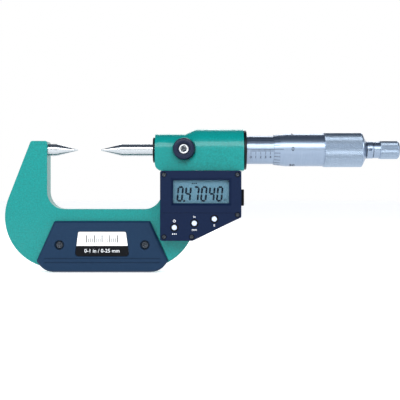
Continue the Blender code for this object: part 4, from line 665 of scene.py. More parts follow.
# %% [markdown]
# The bars of a figure are called a to g, clockwise from the top, with g in the middle. The flat ones and
# the upright ones are trimmed so that their points almost touch. A dash of ink makes the decimal point,
# and three more stand for the small flag above the figures.

# %% Six figures
FLAT_TRIM = 2.1 * BAR
TALL_TRIM = 1.2 * BAR
SEGMENTS = {"0": "abcdef", "4": "fgbc", "7": "abc"}
half = FIGURE_HEIGHT / 4
SPOTS = {
    "a": (0, 2 * half, 0), "g": (0, 0, 0), "d": (0, -2 * half, 0),
    "f": (-1, half, 1), "b": (1, half, 1), "e": (-1, -half, 1), "c": (1, -half, 1),
}
flat_bar = bar(FIGURE_WIDTH - FLAT_TRIM)
tall_bar = bar(FIGURE_HEIGHT / 2 - TALL_TRIM)
view = middle("lcd_panel")
FIGURE_STEP = 4.05 * MM
FIGURE_Z = view.z - 1.1 * MM
FIRST_FIGURE = 2.65  # steps left of the display's middle
DECIMAL_POINT = 2.15
figures = []
for place, figure in enumerate("047040"):
    centre_x = view.x + (place - FIRST_FIGURE) * FIGURE_STEP
    for name in SEGMENTS[figure]:
        side, up, upright = SPOTS[name]
        lean = math.pi / 2 + LEAN if upright else 0
        x = centre_x + side * (FIGURE_WIDTH - BAR) / 2 + up * math.tan(LEAN)
        spot = (x, LCD_FACE, FIGURE_Z + up)
        figures.append(placed_copy(tall_bar if upright else flat_bar, (0, lean, 0), spot))
remove(flat_bar, tall_bar)


def dash(centre, width, height):
    """A small upright film of ink on a front face."""
    reach = Vector((width / 2, INK, height / 2))
    return block(centre - reach, centre + reach)


FLAG_SIZE = (0.7 * MM, 0.55 * MM)
UNIT_SIZE = 2.0 * MM
first_gap = Vector((view.x - DECIMAL_POINT * FIGURE_STEP, LCD_FACE, FIGURE_Z - FIGURE_HEIGHT / 2))
figures.append(dash(first_gap, BAR, BAR))
flag = Vector((view.x - 4.4 * MM, LCD_FACE, view.z + 4.3 * MM))
figures += [dash(flag + ALONG * step * MM, *FLAG_SIZE) for step in range(3)]
fit(soften(joined(figures), 0), "display_figures", SEGMENT_INK, "frame", "lcd_glass")
unit_place = (view.x + 12.3 * MM, LCD_FACE - INK, view.z - 4.0 * MM)
unit = printed("in", UNIT_SIZE, unit_place)
fit(unit, "display_unit", SEGMENT_INK, "frame", "lcd_glass")

# %% [markdown]
# ## Keys and their signs
# A key cap is a small turned button with a crowned top, on a flange that keeps it inside the cover. Its
# crown is stepped in by small fractions of the radius, so that it catches a round highlight.

# %% Three keys
KEY_RADIUS = 1.3 * MM
KEY_FLANGE = 0.6 * MM
CROWN = 0.35 * MM
CROWN_TOP = 0.12 * MM
for name in ("set", "unit", "zero"):
    node = name + "_button"
    low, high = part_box(node)
    foot = middle(node)
    foot.y = high.y
    depth = high.y - low.y
    flange = (high.x - low.x) / 2
    profile = [
        (0, 0),
        (0, flange),
        (KEY_FLANGE, flange),
        (KEY_FLANGE, KEY_RADIUS),
        (depth - CROWN, KEY_RADIUS),
        (depth - CROWN_TOP, KEY_RADIUS * 0.9),
        (depth, KEY_RADIUS * 0.55),
        (depth, 0),
    ]
    cap = turned(profile, foot, TO_FRONT, steps=32, edge=0.06 * MM)
    fit(cap, name + "_key", BUTTON_PLASTIC, node, "button_plastic", node)

# %% [markdown]
# A soft black ring sits in a round recess of the cover, round each key. It belongs to the cover, so it
# stays still while its key goes down.

# %% Rings round the keys
RING_BORE = 1.5 * MM
RING_RADIUS = 2.05 * MM
RECESS = 0.5 * MM
RING_THICKNESS = 0.4 * MM
ring_profile = [
    (0, RING_BORE),
    (0, RING_RADIUS),
    (RING_THICKNESS, RING_RADIUS),
    (RING_THICKNESS, RING_BORE),
]
for name in ("set", "unit", "zero"):
    centre = middle(name + "_button")
    centre.y = COVER_LOW.y + RECESS
    ring = turned(ring_profile, centre, TO_FRONT, steps=32, edge=0)
    fit(ring, name + "_key_ring", RUBBER, "frame", "rubber")

# %% [markdown]
# What a key does is printed on the cover above or below it, here as plain signs and units: a power sign
# over three dashes, the two units, and a nought. The power sign is a flat hoop with a stroke through its
# top, so it is turned and joined and needs no lettering.

# %% Signs beside the keys
SIGN_LIFT = 3.3 * MM
SIGN_SIZE = 1.7 * MM
HOOP_BORE = 0.5 * MM
HOOP_RADIUS = 0.68 * MM
STROKE_LIFT = 0.55 * MM
DASH_STEP = 0.9 * MM
for name, text, side in (("unit", "in", 1), ("unit", "mm", -1), ("zero", "0", -1)):
    centre = middle(name + "_button")
    sign = printed(text, SIGN_SIZE, (centre.x, COVER_LOW.y, centre.z + side * SIGN_LIFT))
    fit(sign, f"{name}_sign_{text}", PRINT_WHITE, "frame", "box_plastic")

centre = middle("set_button")
centre.y = COVER_LOW.y
hoop_profile = [(-INK, HOOP_BORE), (-INK, HOOP_RADIUS), (INK, HOOP_RADIUS), (INK, HOOP_BORE)]
hoop = turned(hoop_profile, centre + Vector((0, 0, SIGN_LIFT)), TO_FRONT, steps=24, edge=0)
stroke = dash(centre + Vector((0, 0, SIGN_LIFT + STROKE_LIFT)), 0.2 * MM, 0.7 * MM)
dash_places = [centre + Vector((step * DASH_STEP, 0, -SIGN_LIFT)) for step in (-1, 0, 1)]
under = [dash(place, HOOP_BORE, HOOP_BORE) for place in dash_places]
fit(soften(joined([hoop, stroke] + under), 0), "power_sign", PRINT_WHITE, "frame", "box_plastic")

# %% [markdown]
# ## Screws
# A cross-recess screw is a turned head with two crossed slots cut into it. One is modelled at the origin
# for each size, and every copy gets its own mesh.

# %% A cross-recess screw
def cross_screw(head_radius, head_height, shank_radius, length, slot):
    """A screw that stands at the origin with its head's top at y = 0, facing the front."""
    dome = head_radius * 0.12
    profile = [
        (-length, 0),
        (-length, shank_radius),
        (-head_height, shank_radius),
        (-head_height, head_radius),
        (-dome, head_radius),
        (0, head_radius * 0.78),
        (0, 0),
    ]
    piece = turned(profile, Vector((0, 0, 0)), TO_FRONT, steps=40, edge=FINE_EDGE)
    reach = head_radius * 0.6
    for half_x, half_z in ((reach, slot / 2), (slot / 2, reach)):
        cut_away(piece, block((-half_x, -MM, -half_z), (half_x, head_height * 0.6, half_z)))
    return piece


def socket_screw(head_radius, head_height, shank_radius, length, key):
    """A screw like the last, with a hexagon socket in a round-edged head."""
    rounding = 0.25 * MM
    profile = [
        (-length, 0),
        (-length, shank_radius),
        (-head_height, shank_radius),
        (-head_height, head_radius),
        (-rounding, head_radius),
        (0, head_radius - rounding),
        (0, 0),
    ]
    piece = turned(profile, Vector((0, 0, 0)), TO_FRONT, steps=40, edge=FINE_EDGE)
    nothing_picked()
    bpy.ops.mesh.primitive_cylinder_add(
        vertices=6, radius=key / math.sqrt(3), depth=head_height * 1.4, rotation=(math.pi / 2, 0, 0)
    )
    cut_away(piece, settle(bpy.context.object))
    return piece


# %% [markdown]
# No two screws stop at the same angle, so every copy is turned half a radian further than the last.

# %% Grip, cover and box screws
def set_screws(pattern, nodes, surface, turn=0.0):
    """Copies a screw to each node's place, facing front or rear, and removes the pattern."""
    for number, node in enumerate(nodes):
        low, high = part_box(node)
        rear = middle(node).y > AXIS.y
        pick(pattern)
        bpy.ops.object.duplicate()
        copy = bpy.context.object
        copy.rotation_euler = (0, turn + 0.5 * number, math.pi if rear else 0)
        copy.location = (middle(node).x, high.y if rear else low.y, middle(node).z)
        settle(copy)
        fit(soften(copy, 0), node + "_head", surface, "frame", "blackened_steel", node)
    remove(pattern)


def nodes_with(word):
    return sorted(node for node in frame["nodes"] if word in node)


grip_screw = cross_screw(
    head_radius=1.85 * MM, head_height=0.8 * MM, shank_radius=1.2 * MM, length=6.0 * MM, slot=0.5 * MM
)
set_screws(grip_screw, nodes_with("grip_screw"), SCREW_STEEL, turn=0.7)
cover_screw = cross_screw(
    head_radius=1.15 * MM, head_height=0.8 * MM, shank_radius=0.7 * MM, length=7.9 * MM, slot=0.32 * MM
)
set_screws(cover_screw, nodes_with("cover_screw"), SCREW_STEEL, turn=0.3)
low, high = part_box("box_screw_1")
box_screw = socket_screw(
    head_radius=2.2 * MM, head_height=1.5 * MM, shank_radius=1.2 * MM, length=high.y - low.y, key=2.0 * MM
)
set_screws(box_screw, nodes_with("box_screw"), SCREW_STEEL)

# %% [markdown]
# ## Spindle lock
# The lock is a short moulded knob with a stepped face and a bright socket screw in its middle. The knob's
# outline runs from its bore over the rounded rim to a shallow dish, where the screw's head lies.

# %% The lock knob
LOCK = middle("lock_knob")
LOCK_LOW, LOCK_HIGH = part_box("lock_knob")
lock_foot = Vector((LOCK.x, LOCK_HIGH.y, LOCK.z))
lock_height = LOCK_HIGH.y - LOCK_LOW.y
lock_radius = (LOCK_HIGH.x - LOCK_LOW.x) / 2
LOCK_BORE = 1.6 * MM
DISH = 0.5 * MM
SEAT = 1.3 * MM
profile = [
    (0, LOCK_BORE),
    (0, lock_radius),
    (lock_height - 0.9 * MM, lock_radius),
    (lock_height - 0.3 * MM, lock_radius - 0.35 * MM),
    (lock_height, lock_radius - 1.0 * MM),
    (lock_height, 3.5 * MM),
    (lock_height - DISH, 3.2 * MM),
    (lock_height - DISH, 2.85 * MM),
    (lock_height - SEAT, 2.8 * MM),
    (lock_height - SEAT, LOCK_BORE),
]
lock_knob = turned(profile, lock_foot, TO_FRONT)
fit(lock_knob, "lock_knob_moulding", KNOB_PLASTIC, "lock_knob", "box_plastic", "lock_knob")

# %% [markdown]
# The screw turns with the knob, and its end pushes a small shoe against the spindle. It is a turned bar
# with a wider head, and a four-sided prism cut out of the head gives a square socket.

# %% The lock screw
LOCK_SHANK = 1.5 * MM
LOCK_HEAD = 2.5 * MM
HEAD_HEIGHT = 0.6 * MM
HEAD_CHAMFER = 0.15 * MM
screw_low, screw_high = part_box("lock_screw")
screw_foot = Vector((LOCK.x, screw_high.y, LOCK.z))
length = screw_high.y - screw_low.y
profile = [
    (0, 0),
    (0, LOCK_SHANK),
    (length - HEAD_HEIGHT, LOCK_SHANK),
    (length - HEAD_HEIGHT, LOCK_HEAD),
    (length - HEAD_CHAMFER, LOCK_HEAD),
    (length, 2.2 * MM),
    (length, 0),
]
lock_screw = turned(profile, screw_foot, TO_FRONT, steps=48, edge=FINE_EDGE)
nothing_picked()
bpy.ops.mesh.primitive_cylinder_add(
    vertices=4,
    radius=1.45 * MM,
    depth=5 * MM,
    location=(LOCK.x, screw_low.y, LOCK.z),
    rotation=(math.pi / 2, 0.3, 0),
)
cut_away(lock_screw, settle(bpy.context.object))
fit(soften(lock_screw, 0), "lock_socket_screw", BRIGHT_SCREW, "lock_knob", "inner_steel", "lock_screw")

# %% [markdown]
# Little light reaches the bottom of the deep socket, so the middle of the bright head looks dark. A small
# dished plate with a blackened surface lies a little below the head. It is painted shade for that floor.

# %% Painted shade in the socket
PAINTED_SHADE_RADIUS = 1.0 * MM
PAINTED_SHADE_DEPTH = 1.2 * MM
profile = [(0, 0), (0, PAINTED_SHADE_RADIUS), (0.5 * MM, PAINTED_SHADE_RADIUS), (0.25 * MM, 0.6 * MM), (0.2 * MM, 0)]
painted_shade_foot = Vector((LOCK.x, screw_low.y + PAINTED_SHADE_DEPTH, LOCK.z))
# A blackened plate as painted shade: the real floor of the socket is bright steel in shadow.
socket_painted_shade = turned(profile, painted_shade_foot, TO_FRONT, steps=24, edge=0)
fit(socket_painted_shade, "lock_socket_painted_shade", SCREW_STEEL, "lock_knob", "blackened_steel")

# %% [markdown]
# ## Collars
# A black ring closes each end of the barrel. It is a washer with softened rims, so its outline is a
# rectangle beside the axis, closed on itself and spun.

# %% Two collars
RUNNING_GAP = 0.1 * MM


def on_axis(x):
    return Vector((x, AXIS.y, AXIS.z))


def radius_of(node):
    low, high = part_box(node)
    return (high.z - low.z) / 2


def washer(length, radius, bore):
    return [(0, bore), (0, radius), (length, radius), (length, bore)]


COLLAR_BORES = {"front_collar": 3.65 * MM, "rear_collar": radius_of("sleeve") + RUNNING_GAP}
for node, bore in COLLAR_BORES.items():
    low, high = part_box(node)
    ring = turned(washer(high.x - low.x, radius_of(node), bore), on_axis(low.x), ALONG, edge=0.25 * MM)
    fit(ring, node + "_ring", BLACK_PLASTIC, "frame", "black_plastic", node)

# %% [markdown]
# ## Measuring points
# The anvil and the spindle end in ground cones of 30 degrees with a tiny round tip. The tip is an arc
# that runs into the cone without a step, so a measured face isn't scratched.

# %% Pointed ends
CONE = math.radians(15)
TIP_ROUND = 0.3 * MM
TIP_STEPS = 5
ROD = 3.25 * MM


def pointed():
    """The outline from the tip to the full radius, measured from the tip."""
    turn = math.pi / 2 - CONE
    arc = [turn * step / TIP_STEPS for step in range(TIP_STEPS + 1)]
    tip = [(TIP_ROUND * (1 - math.cos(a)), TIP_ROUND * math.sin(a)) for a in arc]
    foot, start = tip[-1]
    return tip + [(foot + (ROD - start) / math.tan(CONE), ROD)]


anvil_low, anvil_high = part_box("anvil")
profile = pointed() + [(anvil_high.x - anvil_low.x, ROD), (anvil_high.x - anvil_low.x, 0)]
anvil = turned(profile, on_axis(anvil_high.x), -ALONG, edge=TINY_EDGE)
fit(anvil, "anvil_point", POINT_STEEL, "frame", "ground_steel", "anvil")

# %% [markdown]
# The spindle is one long bar: the point, the ground journal, the threaded part, and the seat that the
# thimble is pressed on. A keyway runs along its top, so that it turns the sensing disc and still slides.

# %% The spindle
THREAD_RADIUS = 3.6 * MM
THREAD_START = 28.58 * MM
THREAD_LENGTH = 43.4 * MM
SEAT_RADIUS = 2.9 * MM
STUD_BORE = 1.6 * MM
KEYWAY_SPARE = 0.6 * MM
spindle_length = SPINDLE_HIGH.x - SPINDLE_LOW.x
thread_start = THREAD_START - SPINDLE_LOW.x
stud_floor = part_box("ratchet_body")[0].x - 0.3 * MM - SPINDLE_LOW.x
profile = pointed() + [
    (thread_start, ROD),
    (thread_start, THREAD_RADIUS),
    (thread_start + THREAD_LENGTH, THREAD_RADIUS),
    (thread_start + THREAD_LENGTH, SEAT_RADIUS),
    (spindle_length, SEAT_RADIUS),
    (spindle_length, STUD_BORE),
    (stud_floor, STUD_BORE),
    (stud_floor, 0),
]
spindle = turned(profile, on_axis(SPINDLE_LOW.x), ALONG, edge=TINY_EDGE)
key_low, key_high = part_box("rotor_key")
feed = next(joint for joint in frame["joints"] if joint["name"] == "spindle_feed")
closing, opening = feed["range_m"]
way_low = (key_low.x - opening - KEYWAY_SPARE, key_low.y - RUNNING_GAP, key_low.z - RUNNING_GAP)
way_high = (key_high.x - closing + KEYWAY_SPARE, key_high.y + RUNNING_GAP, AXIS.z + THREAD_RADIUS + MM)
cut_away(spindle, block(way_low, way_high))
fit(soften(spindle, 0), "spindle_bar", POINT_STEEL, "spindle", "ground_steel", "spindle")

# %% [markdown]
# ## Sleeve
# The sleeve is a satin tube. Its scale is engraved and filled with ink: one index line, short lines every
# 0.025 inch below it, longer ones every 0.1 inch, and ten vernier lines above it.

# %% The sleeve
SLEEVE_LOW, SLEEVE_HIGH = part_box("sleeve")
SLEEVE_RADIUS = radius_of("sleeve")
SLEEVE_WALL = 0.7 * MM
bored = washer(SLEEVE_HIGH.x - SLEEVE_LOW.x, SLEEVE_RADIUS, SLEEVE_RADIUS - SLEEVE_WALL)
sleeve = turned(bored, on_axis(SLEEVE_LOW.x), ALONG)
fit(sleeve, "sleeve_tube", SATIN_CHROME, "frame", "satin_chrome", "sleeve")

# %% [markdown]
# A line that runs round the sleeve is a small flat rectangle spun through a part of a turn. It is made
# round the X axis at the origin, then repeated along X and moved to the measuring axis.

# %% Lines round the sleeve
ENGRAVED = 0.16 * MM
SHORT_ARC = math.radians(10.5)
LONG_ARC = math.radians(21.5)
FILM_LOW = SLEEVE_RADIUS - 0.03 * MM
FILM_HIGH = SLEEVE_RADIUS + 0.02 * MM


def arc_line(x, width, angle):
    """A film of ink round the X axis, from the front face down through the angle."""
    nothing_picked()
    bpy.ops.mesh.primitive_plane_add(size=1, location=(x, -(FILM_LOW + FILM_HIGH) / 2, 0))
    piece = bpy.context.object
    piece.scale = (width, FILM_HIGH - FILM_LOW, 1)
    settle(piece)
    bpy.ops.object.mode_set(mode="EDIT")
    bpy.ops.mesh.select_mode(type="FACE")
    bpy.ops.mesh.select_all(action="SELECT")
    bpy.ops.mesh.spin(steps=4, angle=-angle, center=(0, 0, 0), axis=(1, 0, 0))
    bpy.ops.mesh.select_all(action="SELECT")
    bpy.ops.mesh.normals_make_consistent(inside=False)
    bpy.ops.object.mode_set(mode="OBJECT")
    return piece


INCH = 25.4 * MM
SCALE_ZERO = 24.92 * MM
short = repeated(arc_line(SCALE_ZERO, ENGRAVED, SHORT_ARC), 41, (INCH / 40, 0, 0))
long = repeated(arc_line(SCALE_ZERO, ENGRAVED * 1.1, LONG_ARC), 11, (INCH / 10, 0, 0))
print("lowest point of a long line", round(min(v.co.z for v in long.data.vertices) / MM, 2), "mm")

# %% [markdown]
# A line that runs along the sleeve is a thin bar on its front. The vernier lines are copies of it, each
# turned a little further round the axis.

# %% Lines along the sleeve
VERNIER_STEP = math.radians(360 / 25 * 9 / 10)
LINE_END = SCALE_ZERO + INCH + 2 * MM
LINE_START = 23.3 * MM
HALF_LINE = 0.07 * MM
length_bar = block((LINE_START, -FILM_HIGH, -HALF_LINE), (LINE_END, -FILM_LOW, HALF_LINE))
ALL_ROUND = (0, AXIS.y, AXIS.z)
scale = [placed_copy(length_bar, (-VERNIER_STEP * step, 0, 0), ALL_ROUND) for step in range(11)]
scale += [placed_copy(short, (0, 0, 0), ALL_ROUND), placed_copy(long, (0, 0, 0), ALL_ROUND)]
remove(length_bar, short, long)
fit(joined(scale), "sleeve_scale", PRINT_BLACK, "frame", "satin_chrome")

# %% [markdown]
# A figure is printed flat on the front of the sleeve, then turned round the axis to its place: below the
# long lines for tenths of an inch, and at the left end of every second vernier line.

# %% Figures on the sleeve
def stamped(text, size, x, radius, turn):
    """A figure laid flat on a round surface, turned round the axis from the front."""
    flat = printed(text, size, (x, -radius, 0), thickness=0.04 * MM)
    figure = placed_copy(flat, (turn, 0, 0), ALL_ROUND)
    remove(flat)
    return figure


FIGURE_TURN = math.radians(33)
TENTH_SIZE = 2.1 * MM
VERNIER_SIZE = 1.1 * MM
VERNIER_X = 22.95 * MM
figures = [
    stamped(str(tenth % 10), TENTH_SIZE, SCALE_ZERO + tenth * INCH / 10, SLEEVE_RADIUS, FIGURE_TURN)
    for tenth in range(11)
]
for step in range(0, 11, 2):
    turn = -VERNIER_STEP * step
    figures.append(stamped(str(step % 10), VERNIER_SIZE, VERNIER_X, SLEEVE_RADIUS, turn))
fit(joined(figures), "sleeve_figures", PRINT_BLACK, "frame", "satin_chrome")

# %% [markdown]
# ## Thimble
# The thimble is bored to run over the sleeve. Its front is tapered to a thin lip that carries the fine
# scale, its back half is knurled, and a cone closes it round the ratchet's neck.

# %% The thimble's body
THIMBLE_LOW, THIMBLE_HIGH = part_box("thimble")
THIMBLE_BORE = 7.5625 * MM
LIP_RADIUS = THIMBLE_BORE + 0.25 * MM
PLAIN_RADIUS = THIMBLE_BORE + 1.0 * MM
KNURL_RADIUS = radius_of("thimble")
TAPER = 6.3 * MM
thimble_length = THIMBLE_HIGH.x - THIMBLE_LOW.x
NECK_RADIUS = 4.5 * MM
CLOSING_CONE = 2.3 * MM
KNURL_LENGTH = 20.3 * MM
SEAT_LENGTH = 5.7 * MM
knurl_end = thimble_length - CLOSING_CONE
knurl_start = knurl_end - KNURL_LENGTH
under_knurl = KNURL_RADIUS - 0.3 * MM
rim = 0.5 * MM
profile = [
    (0, THIMBLE_BORE),
    (0, LIP_RADIUS),
    (TAPER, PLAIN_RADIUS),
    (knurl_start, PLAIN_RADIUS),
    (knurl_start, KNURL_RADIUS - 0.15 * MM),
    (knurl_start + rim, under_knurl),
    (knurl_end - rim, under_knurl),
    (knurl_end - rim, KNURL_RADIUS - 0.1 * MM),
    (knurl_end, KNURL_RADIUS - 0.05 * MM),
    (thimble_length, NECK_RADIUS),
    (thimble_length, SEAT_RADIUS + RUNNING_GAP),
    (thimble_length - SEAT_LENGTH, SEAT_RADIUS + RUNNING_GAP),
    (thimble_length - SEAT_LENGTH, THIMBLE_BORE),
]
thimble = turned(profile, on_axis(THIMBLE_LOW.x), ALONG, edge=0.1 * MM)
fit(thimble, "thimble_body", SATIN_CHROME, "spindle", "satin_chrome", "thimble")

# %% [markdown]
# A diamond knurl is pressed in by two wheels, and each diamond is a low pyramid. The band starts as an
# open cylinder cut into rows. A point in the middle of each square splits it in four, and taking out the
# old edges leaves diamonds. A second set of middle points, raised this time, turns them into pyramids.

# %% A knurled band
def knurled_band(start, end, radius, height, around, rows):
    """A closed ring of pyramids round the measuring axis."""
    nothing_picked()
    bpy.ops.mesh.primitive_cylinder_add(
        vertices=around,
        radius=radius,
        depth=end - start,
        end_fill_type="NOTHING",
        location=on_axis((start + end) / 2),
        rotation=(0, math.pi / 2, 0),
    )
    piece = settle(bpy.context.object)
    bpy.ops.object.mode_set(mode="EDIT")
    choose(piece, "EDGE", lambda e: abs(e.verts[0].co.x - e.verts[1].co.x) > (end - start) / 2)
    bpy.ops.mesh.subdivide(number_cuts=rows - 1)
    bpy.ops.mesh.select_all(action="SELECT")
    bpy.ops.mesh.poke(offset=0)

    def old(edge):
        here, there = (vert.co for vert in edge.verts)
        along = abs(here.x - there.x)
        level = along < WELD or (here - there).length - along < WELD
        return level and len(edge.link_faces) == 2

    choose(piece, "EDGE", old)
    bpy.ops.mesh.dissolve_edges(use_verts=False)
    bpy.ops.mesh.select_mode(type="FACE")
    bpy.ops.mesh.select_all(action="SELECT")
    bpy.ops.mesh.poke(offset=height)
    for x in (start, end):
        choose(piece, "EDGE", lambda e: len(e.link_faces) == 1 and abs(e.verts[0].co.x - x) < WELD)
        bpy.ops.mesh.extrude_region_move()
        shrink = 1 - 0.5 * MM / radius
        bpy.ops.transform.resize(value=(1, shrink, shrink), center_override=tuple(on_axis(x)))
    choose(piece, "EDGE", lambda e: len(e.link_faces) == 1)
    bpy.ops.mesh.bridge_edge_loops()
    bpy.ops.mesh.select_all(action="SELECT")
    bpy.ops.mesh.normals_make_consistent(inside=False)
    bpy.ops.object.mode_set(mode="OBJECT")
    bpy.ops.object.shade_flat()
    return piece


BAND_INSET = 0.3 * MM
PYRAMID = 0.22 * MM
band_start = THIMBLE_LOW.x + knurl_start + BAND_INSET
band_end = THIMBLE_LOW.x + knurl_end - BAND_INSET
grip = knurled_band(band_start, band_end, KNURL_RADIUS - PYRAMID, PYRAMID, around=60, rows=21)
fit(grip, "thimble_knurl", KNURL_CHROME, "spindle", "satin_chrome")

# %% [markdown]
# The fine scale sits on the tapered lip: twenty-five lines, one for each thousandth of an inch, with a
# figure at every fifth. The line at nought is longer than the others.

# %% Lines on the thimble
SLOPE = math.atan2(PLAIN_RADIUS - LIP_RADIUS, TAPER)
LINE_WIDTH = 0.2 * MM
FIGURE_SIZE = 3.1 * MM
FIGURE_X = THIMBLE_LOW.x + 9.6 * MM


def lip_line(length, width):
    """A film of ink along the taper, on the front of the X axis."""
    flat = block((0, -0.03 * MM, -width / 2), (length, 0.02 * MM, width / 2))
    leaned = placed_copy(flat, (0, 0, -SLOPE), (THIMBLE_LOW.x, -LIP_RADIUS, 0))
    remove(flat)
    return leaned


DIVISIONS = 25
common, nought = lip_line(3.2 * MM, LINE_WIDTH), lip_line(5.0 * MM, LINE_WIDTH)
lines = [placed_copy(nought, (0, 0, 0), ALL_ROUND)]
for step in range(1, DIVISIONS):
    lines.append(placed_copy(common, (-2 * math.pi * step / DIVISIONS, 0, 0), ALL_ROUND))
remove(common, nought)
for step in range(0, DIVISIONS, 5):
    turn = -2 * math.pi * step / DIVISIONS
    lines.append(stamped(str(step), FIGURE_SIZE, FIGURE_X, PLAIN_RADIUS, turn))
fit(joined(lines), "thimble_scale", PRINT_BLACK, "spindle", "satin_chrome")

# %% [markdown]
# ## Ratchet stop
# The neck is screwed into the spindle and has a hole for a pin spanner. The knob turns on its post and
# slips when the measuring force is reached, so it is a piece of its own, with a finer knurl.

# %% The neck and its post
NECK_LOW, NECK_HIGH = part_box("ratchet_body")
KNOB_LOW, KNOB_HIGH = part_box("ratchet_knob")
SHOULDER_GAP = 0.3 * MM
STUD_RADIUS = 1.5 * MM
POST_RADIUS = 2.0 * MM
POST_BORE = 0.95 * MM
WEB = 1.2 * MM
stud_end = THIMBLE_HIGH.x + SHOULDER_GAP - NECK_LOW.x
neck_end = KNOB_LOW.x - SHOULDER_GAP - NECK_LOW.x
post_end = NECK_HIGH.x - NECK_LOW.x
profile = [
    (0, 0),
    (0, STUD_RADIUS),
    (stud_end, STUD_RADIUS),
    (stud_end, NECK_RADIUS),
    (neck_end, NECK_RADIUS),
    (neck_end, POST_RADIUS),
    (post_end, POST_RADIUS),
    (post_end, POST_BORE),
    (neck_end + WEB, POST_BORE),
    (neck_end + WEB, 0),
]
neck = turned(profile, on_axis(NECK_LOW.x), ALONG, edge=0.1 * MM)
nothing_picked()
SPANNER_HOLE = 0.65 * MM
hole_x = NECK_LOW.x + (stud_end + neck_end) / 2
bpy.ops.mesh.primitive_cylinder_add(
    vertices=32,
    radius=SPANNER_HOLE,
    depth=4 * MM,
    location=on_axis(hole_x) + TO_FRONT * NECK_RADIUS,
    rotation=(math.pi / 2, 0, 0),
)
cut_away(neck, settle(bpy.context.object))
fit(soften(neck, 0), "ratchet_neck", SATIN_CHROME, "spindle", "satin_chrome", "ratchet_body")

# %% [markdown]
# The knob is turned with a plain collar in front and a shallow seat for its knurl behind it. It is hollow:
# the wide part holds the clutch and its spring, and the open end shows the screw's head.

# %% The knob
POCKET_RADIUS = 3.7 * MM
COLLAR_RADIUS = 4.3 * MM
SCREW_POCKET = 2.6 * MM
SCREW_BORE = 1.05 * MM
FINE_PYRAMID = 0.14 * MM
knob_length = KNOB_HIGH.x - KNOB_LOW.x
screw_seat = knob_length - 2.9 * MM
pocket_end = knob_length - 5.8 * MM
KNOB_RADIUS = radius_of("ratchet_knob")
collar = 3.3 * MM
base_radius = KNOB_RADIUS - 0.18 * MM
profile = [
    (0, POCKET_RADIUS),
    (0, COLLAR_RADIUS),
    (collar, COLLAR_RADIUS),
    (collar, KNOB_RADIUS - 0.1 * MM),
    (collar + 0.4 * MM, base_radius),
    (knob_length - 1.0 * MM, base_radius),
    (knob_length - 0.9 * MM, KNOB_RADIUS - 0.08 * MM),
    (knob_length - 0.35 * MM, KNOB_RADIUS - 0.35 * MM),
    (knob_length, KNOB_RADIUS - 0.95 * MM),
    (knob_length, SCREW_POCKET),
    (screw_seat, SCREW_POCKET),
    (screw_seat, SCREW_BORE),
    (pocket_end, SCREW_BORE),
    (pocket_end, POCKET_RADIUS),
]
knob = turned(profile, on_axis(KNOB_LOW.x), ALONG, edge=0.12 * MM)
fit(knob, "ratchet_knob_body", SATIN_CHROME, "ratchet_knob", "satin_chrome", "ratchet_knob")
band_start = KNOB_LOW.x + collar + 0.25 * MM
band_end = KNOB_HIGH.x - 0.95 * MM
fine_radius = KNOB_RADIUS - 0.15 * MM
fine_grip = knurled_band(band_start, band_end, fine_radius, FINE_PYRAMID, around=50, rows=15)
fit(fine_grip, "ratchet_knob_knurl", KNURL_CHROME, "ratchet_knob", "satin_chrome")

# %% [markdown]
# ## Small pieces with their own mesh
# The battery cap, the port plug and the display window only need softened edges.

# %% Softened copies
for node, surface, body, slot, width in (
    ("battery_cap", BLACK_PLASTIC, "battery_cap", "black_plastic", 0.2 * MM),
    ("data_port_cover", RUBBER, "port_cover", "rubber", 0.35 * MM),
    ("display_window", WINDOW, "frame", "clear_window", 0.1 * MM),
):
    fit(soften(welded_copy(node), width), node + "_piece", surface, body, slot, node)

# %% [markdown]
# ## Studio
# The floor is a large pale sheet that glows a little, as a light table does, so that it joins the white
# horizon without a line.

# %% Floor
WHITE = (1.0, 1.0, 1.0, 1.0)
FLOOR_GLOW = 0.57
FLOOR_SIZE = 60  # metres, so that its far edge lies at the horizon
nothing_picked()
bpy.ops.mesh.primitive_plane_add(size=FLOOR_SIZE, location=(0, 0, -0.5 * MM))
floor = bpy.context.object
floor.name = "studio_floor"
card = grained("floor_card", colour(246, 247, 248), colour(252, 252, 252), 30, gloss=(0.7, 0.85))
card_shader = card.node_tree.nodes["Principled BSDF"]
card_shader.inputs["Emission Color"].default_value = WHITE
card_shader.inputs["Emission Strength"].default_value = FLOOR_GLOW
floor.data.materials.append(card)
print("floor", FLOOR_SIZE, "m across")

# %% [markdown]
# The sky is white near the horizon and darker overhead, because a turned bar mirrors all of it: the dark
# part draws the grey bands that show that the bar is round.

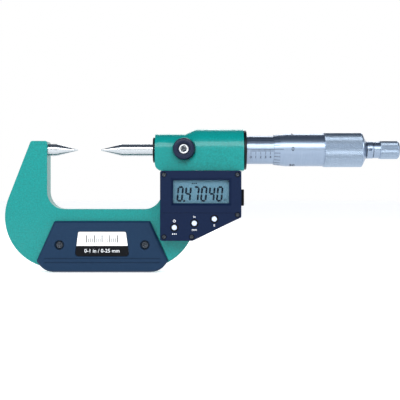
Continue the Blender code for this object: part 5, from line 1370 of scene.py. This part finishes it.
# %% Sky
HORIZON = 0.32
OVERHEAD = 0.75
DUSK = (0.12, 0.14, 0.18, 1.0)
world = bpy.data.worlds.new("studio_sky")
world.use_nodes = True
bpy.context.scene.world = world
sky = world.node_tree.nodes["Background"]
sky.inputs["Strength"].default_value = 1.0
direction = world.node_tree.nodes.new("ShaderNodeTexCoord")
height = world.node_tree.nodes.new("ShaderNodeSeparateXYZ")
fade = world.node_tree.nodes.new("ShaderNodeValToRGB")
for end, place, shade in zip(fade.color_ramp.elements, (HORIZON, OVERHEAD), (WHITE, DUSK)):
    end.position = place
    end.color = shade
link = world.node_tree.links.new
link(direction.outputs["Generated"], height.inputs["Vector"])
link(height.outputs["Z"], fade.inputs["Fac"])
link(fade.outputs["Color"], sky.inputs["Color"])
print("sky fades from", HORIZON, "to", OVERHEAD)

# %% [markdown]
# Two soft panels, one in front and one behind, make the broad highlights. Each one is turned to face the
# middle of the tool.

# %% Soft panels
CENTRE = Vector((0, 0, 0.04))


def panel(name, place, width, height, power):
    """A soft light that faces the object."""
    nothing_picked()
    bpy.ops.object.light_add(type="AREA", location=place)
    light = bpy.context.object
    light.name = name
    light.data.shape = "RECTANGLE"
    light.data.size = width
    light.data.size_y = height
    light.data.energy = power
    light.rotation_euler = (CENTRE - Vector(place)).to_track_quat("-Z", "Y").to_euler()
    return light


front = panel("front_panel", place=(-0.1, -0.68, 0.5), width=1.1, height=0.36, power=7)
rear = panel("rear_panel", place=(0.2, 0.8, 0.6), width=0.8, height=0.3, power=3)
print("panels of", front.data.energy, "and", rear.data.energy, "watts")

# %% [markdown]
# The picture is developed without a film curve, so that a white card comes out white and the enamel
# keeps its strong colour.

# %% Development of the picture
bpy.context.scene.view_settings.view_transform = "Standard"

# %% [markdown]
# The camera looks straight at the front from about 45 cm away, with a lens long enough to keep the barrel
# and the thimble from swelling towards the edges.

# %% Camera
CAMERA_PLACE = (-1.5 * MM, -447.3 * MM, 37.3 * MM)
LENS = 76.85
nothing_picked()
bpy.ops.object.camera_add(location=CAMERA_PLACE, rotation=(math.pi / 2, 0, 0))
camera = bpy.context.object
camera.name = "front_camera"
camera.data.lens = LENS
camera.data.sensor_width = 36
camera.data.clip_start = 0.01
bpy.context.scene.camera = camera
print("camera at", [round(v / MM, 1) for v in CAMERA_PLACE], "mm, lens", LENS)
